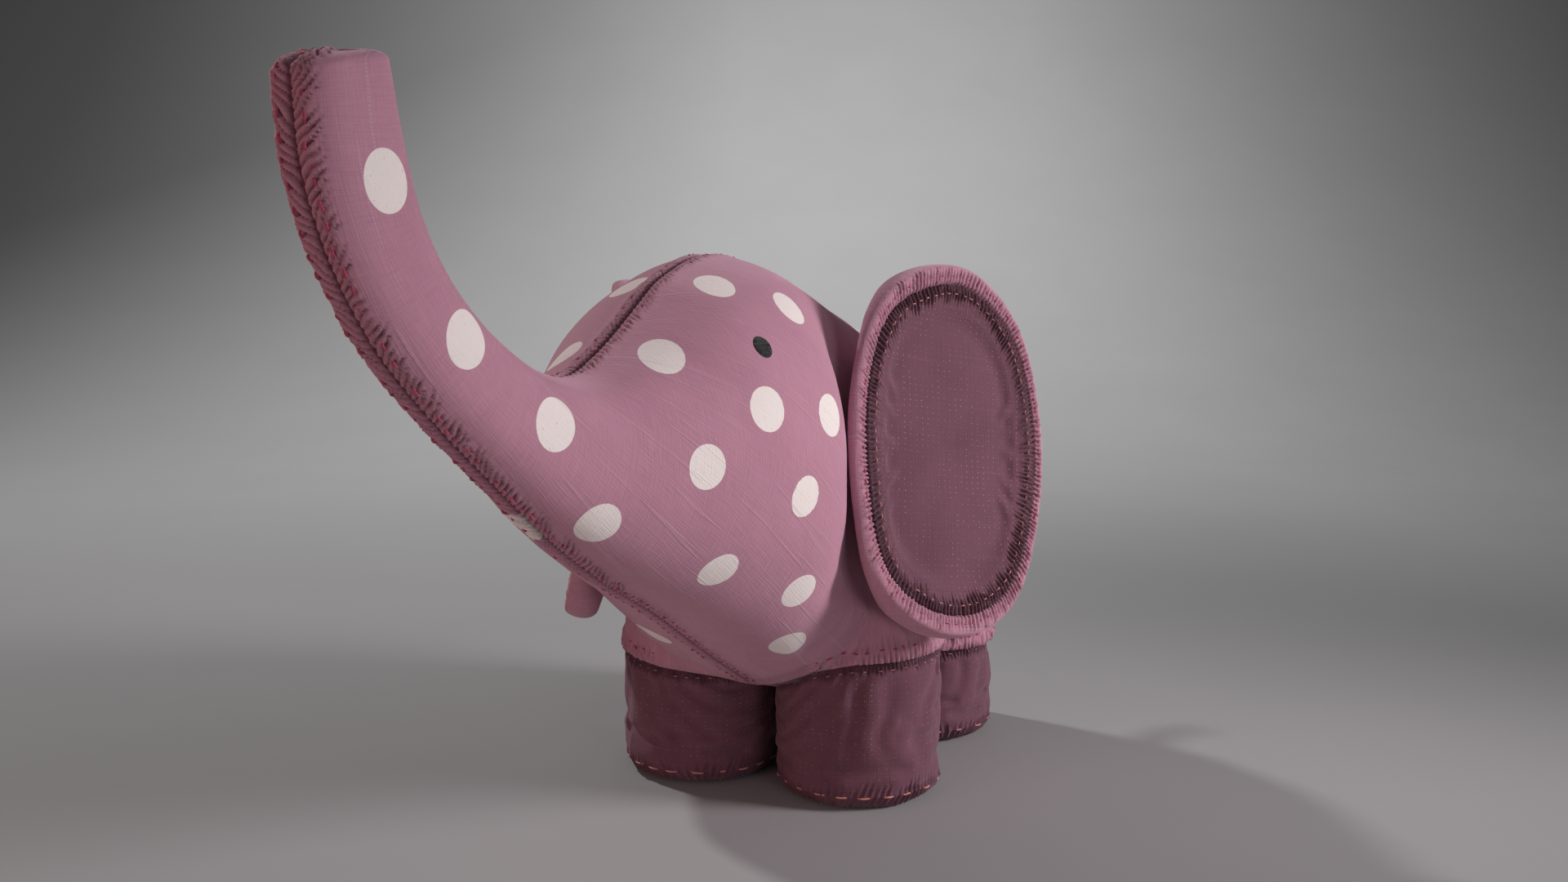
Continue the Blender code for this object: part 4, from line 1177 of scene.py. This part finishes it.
def eye_patch(name, sign, cover, mat):
    """Flat oval of black cotton that lies on the cheek."""
    t, angle = EYE_PLACE
    near = body_section(np.array([t - 0.004, t + 0.004]), angle + np.array([-2, 0, 2]), skirt=True)
    centre = near[:, 1].mean(0) * (sign, 1, 1)
    along = unit(near[1, 1] - near[0, 1]) * (sign, 1, 1)
    up = unit(near[:, 2].mean(0) - near[:, 0].mean(0)) * (sign, 1, 1)
    out = unit(np.cross(along, up)) * sign
    up = np.cross(out, along)
    rings, spokes = 12, 56
    verts = []
    for r in np.linspace(0, 1, rings):
        for k in range(spokes):
            turn = 2 * math.pi * k / spokes
            across, tall = EYE_RADIUS * r * math.cos(turn), EYE_TALL * EYE_RADIUS * r * math.sin(turn)
            flat = centre + along * across + up * tall
            hit = cover.ray_cast(Vector(to_metres(flat + out * 8)), Vector(tuple(-out)))
            lie = np.array(hit[1]) / MM - (0, ORIGIN_Y, 0) if hit[0] else flat
            verts.append(lie + out * (EYE_LIFT - EYE_EDGE_DROP * r ** 9))
    return mesh_object(name, verts, closed_rings(rings, spokes, flip=sign > 0), mat)


# ---- the whole elephant


def piece(item, body, slot, *nodes):
    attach(item, body)
    if nodes:
        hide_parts(*nodes)
    return item


def build_body(mats):
    """Dotted sides, eyes, hem stitches, belly gusset and the two middle seams; returns the leg seams."""
    sheets, lines = {}, {}
    for side, sign in SIDES:
        dots = dot_centres(LEFT_DOTS if sign > 0 else RIGHT_DOTS, sign)
        cover, sheet = side_cover(f"side_cover_{side}", sign, mats["pink"], dots)
        stands_for = [f"side_panel_{side}"] + ["body_stuffing"] * (sign > 0)
        piece(cover, "body", "pink_cotton", *stands_for)
        bpy.context.view_layer.update()
        eye = eye_patch(f"eye_patch_{side}", sign, cover, mats["eye"])
        piece(eye, "body", "black_cotton", f"eye_{side}")
        sheets[sign], lines[sign] = sheet, sheet["line"]
        hem = hem_stitches(sheet, HEM_STITCH_ABOVE, 4.6, 2.6, 31 + sign)
        piece(stitch_mesh(f"hem_stitches_{side}", hem, mats["red"]), "body", "red_thread")
    belly = belly_cover(lines, mats["plum"])
    piece(belly, "body", "plum_cotton", "belly_panel")
    under, top = [], []
    for sign, sheet in sheets.items():
        under_end, top_end = sheet["under_length"][-1], sheet["top_length"][-1] - 10
        under += side_stitches(sheet, "under", UNDER_STITCH_AWAY, 3, under_end, 4.7, 2.7, sign + 1)
        top += side_stitches(sheet, "top", TOP_STITCH_AWAY, 40, top_end, 5.0, 2.4, sign + 9, 0.4)
    under = stitch_mesh("underside_stitches", under, mats["red"])
    piece(under, "body", "red_thread", "underside_seam_thread")
    top = stitch_mesh("top_stitches", top, mats["red_dark"], TOP_THREAD)
    piece(top, "body", "red_thread", "top_seam_thread")
    return lines


def build_legs(lines, mats):
    for end, leg_y in (("front", 0.0), ("rear", WHEELBASE)):
        for side, sign in SIDES:
            place = f"{end}_{side}"
            cover, grid = leg_cover(place, sign, leg_y, lines[sign], mats["plum"])
            piece(cover, "body", "plum_cotton", f"leg_cover_{place}", f"leg_stuffing_{place}")
            out = unit((grid - (sign * HALF_TRACK, leg_y, 0)) * (1, 1, 0))
            column = int(np.argmin(np.abs(grid[0, :, 2] - FOOT_STITCH_HEIGHT)))
            foot = loop_stitches(grid, column, 23, 12, out, 0.75, sign + leg_y)
            piece(stitch_mesh(f"foot_stitches_{place}", foot, mats["salmon"]), "body", "salmon_thread",
                  f"sole_thread_{place}")
            top = loop_stitches(grid, LEG_STITCH_COLUMN, 12, 5, out, 0.55, sign + leg_y + 5)
            top = stitch_mesh(f"leg_stitches_{place}", top, mats["salmon_dark"], LEG_THREAD)
            piece(top, "body", "salmon_thread")


def build_ears(mats):
    for side, sign in SIDES:
        back, back_grid = ear_back(f"ear_{side}_back_cover", sign, mats["pink"])
        face, face_grid, column = ear_face(f"ear_{side}_face_cover", sign, mats["plum"])
        forward = np.broadcast_to(unit(ear_frame(sign)[:3, 1]), back_grid.shape)
        spans = loop_stitches(face_grid, column, 11, 6, forward, 0.6, sign)
        salmon = stitch_mesh(f"ear_{side}_face_stitches", spans, mats["salmon"], FACE_THREAD)
        spans = loop_stitches(back_grid, RIM_STITCH_COLUMN, 11, 6, forward, 0.5, sign + 3)
        red = stitch_mesh(f"ear_{side}_rim_stitches", spans, mats["red"], RIM_THREAD)
        made = ((back, "pink_cotton", ("back",)), (face, "plum_cotton", ("face", "wadding")),
                (salmon, "salmon_thread", ("thread",)), (red, "red_thread", ()))
        for item, slot, nodes in made:
            sew_ear(item, side, sign)
            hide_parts(*(f"ear_{side}_{node}" for node in nodes))


def build_tail(mats):
    end = TAIL_LENGTH + TAIL_TIP
    cover = tail_tube("tail_cloth", 1.5, end, mats["pink"], 0.25, lambda y: np.exp(-y / 12) + 0.4)
    piece(cover, "tail", "pink_cotton", "tail_cover")
    root = tail_tube("tail_root", -9.0, 3.5, mats["pink"], 0.5, lambda y: 1.6 + 0 * y)
    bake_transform(root)


def finish_frame_nodes(mats):
    """Carried-over nodes: stuffing inside the covers and the soles under the feet."""
    for name, node in frame["nodes"].items():
        if "stuffing" in name or "wadding" in name:
            mat = mats["wadding"]
        elif name.startswith("sole_") and "thread" not in name:
            mat = mats["sole"]
        else:
            continue
        for slot in node.material_slots:
            slot.material = mat


# Camera of the photo, in metres from the front feet and degrees
CAMERA_PLACE, CAMERA_TILT, CAMERA_TURN, LENS = (0.190, -0.442, 0.1755), 85, 23, 28.125


def area_light(name, place, aim, size, power, colour, spread=180):
    data = bpy.data.lights.new(name, "AREA")
    data.shape = "DISK"
    data.size = size
    data.energy = power
    data.color = colour
    data.spread = math.radians(spread)
    item = add_object(name, data)
    item.location = Vector(place) + FRONT_FEET
    item.rotation_euler = (Vector(aim) - Vector(place)).to_track_quat("-Z", "Y").to_euler()


def studio():
    """Pale seamless floor, soft lights and the camera."""
    mesh = bpy.data.meshes.new("studio_floor")
    half, front, depth, bend, tall = 4.0, -3.0, 0.9, 2.0, 3.4
    outline = [(front, 0.0), (depth, 0.0)]
    turns = np.linspace(0.1, math.pi / 2, 16)
    outline += [(depth + bend * math.sin(a), bend * (1 - math.cos(a))) for a in turns]
    outline.append((depth + bend, tall))
    verts = [(x, y, z) for y, z in outline for x in (-half, half)]
    faces = [(2 * k, 2 * k + 1, 2 * k + 3, 2 * k + 2) for k in range(len(outline) - 1)]
    mesh.from_pydata(verts, [], faces)
    mesh.materials.append(floor_material())
    mesh.shade_smooth()
    floor = add_object("studio_floor", mesh)
    floor.rotation_euler = (0, 0, math.radians(CAMERA_TURN))
    floor.location = FRONT_FEET
    middle = (0, 0.02, 0.12)
    area_light("key", (-1.55, 0.46, 1.50), middle, 0.16, 19, (1.0, 0.98, 0.98))
    area_light("fill", (0.92, 0.20, 0.42), (0.05, 0.0, 0.12), 0.3, 0.75, (1.0, 0.93, 0.96), 50)
    area_light("low", (0.50, -0.40, 0.07), (0.05, 0.0, 0.06), 0.2, 0.5, (1.0, 0.90, 0.93))
    area_light("bounce", (-0.42, -0.85, 0.10), (0, -0.08, 0.1), 0.5, 2.0, (1.0, 0.56, 0.48))
    area_light("backdrop", (-0.2, 0.9, 1.9), (-0.85, 2.2, 0.55), 0.8, 20.5, (1.0, 1.0, 1.0), 140)
    world = bpy.data.worlds.new("studio")
    world.use_nodes = True
    world.node_tree.nodes["Background"].inputs["Color"].default_value = (0.9, 0.9, 0.92, 1)
    world.node_tree.nodes["Background"].inputs["Strength"].default_value = 0.15
    bpy.context.scene.world = world
    bpy.context.scene.view_settings.view_transform = "Standard"
    camera = add_object("camera", bpy.data.cameras.new("camera"))
    camera.data.lens = LENS
    camera.data.sensor_width = 36
    camera.data.clip_start = 0.01
    camera.location = Vector(CAMERA_PLACE) + FRONT_FEET
    camera.rotation_euler = (math.radians(CAMERA_TILT), 0, math.radians(CAMERA_TURN))
    bpy.context.scene.camera = camera


def main():
    """Makes the materials and then every piece."""
    mats = {
        # The last colour of the pink and the plum cotton is the painted shade of their creases.
        "pink": pink_cotton("pink_cotton_weave", (0.44, 0.215, 0.285), (0.49, 0.245, 0.32),
                            (0.62, 0.40, 0.46), (0.10, 0.018, 0.03)),
        "plum": plum_cotton("plum_cotton_weave", (0.120, 0.046, 0.068), (0.165, 0.068, 0.096),
                            (0.42, 0.30, 0.33), (0.018, 0.005, 0.008)),
        "red": thread_material("red_thread_strands", (0.34, 0.03, 0.08), (0.48, 0.06, 0.13)),
        "red_dark": thread_material("dark_red_thread_strands", (0.20, 0.03, 0.06), (0.34, 0.05, 0.10)),
        "salmon": thread_material("salmon_thread_strands", (0.50, 0.17, 0.15), (0.66, 0.27, 0.23)),
        "salmon_dark": thread_material("dark_salmon_thread_strands", (0.34, 0.14, 0.13), (0.45, 0.2, 0.18)),
        "wadding": wadding_material(),
        "eye": eye_material(),
    }
    mats["sole"] = mats["plum"]
    lines = build_body(mats)
    build_legs(lines, mats)
    build_ears(mats)
    build_tail(mats)
    finish_frame_nodes(mats)
    studio()


main()
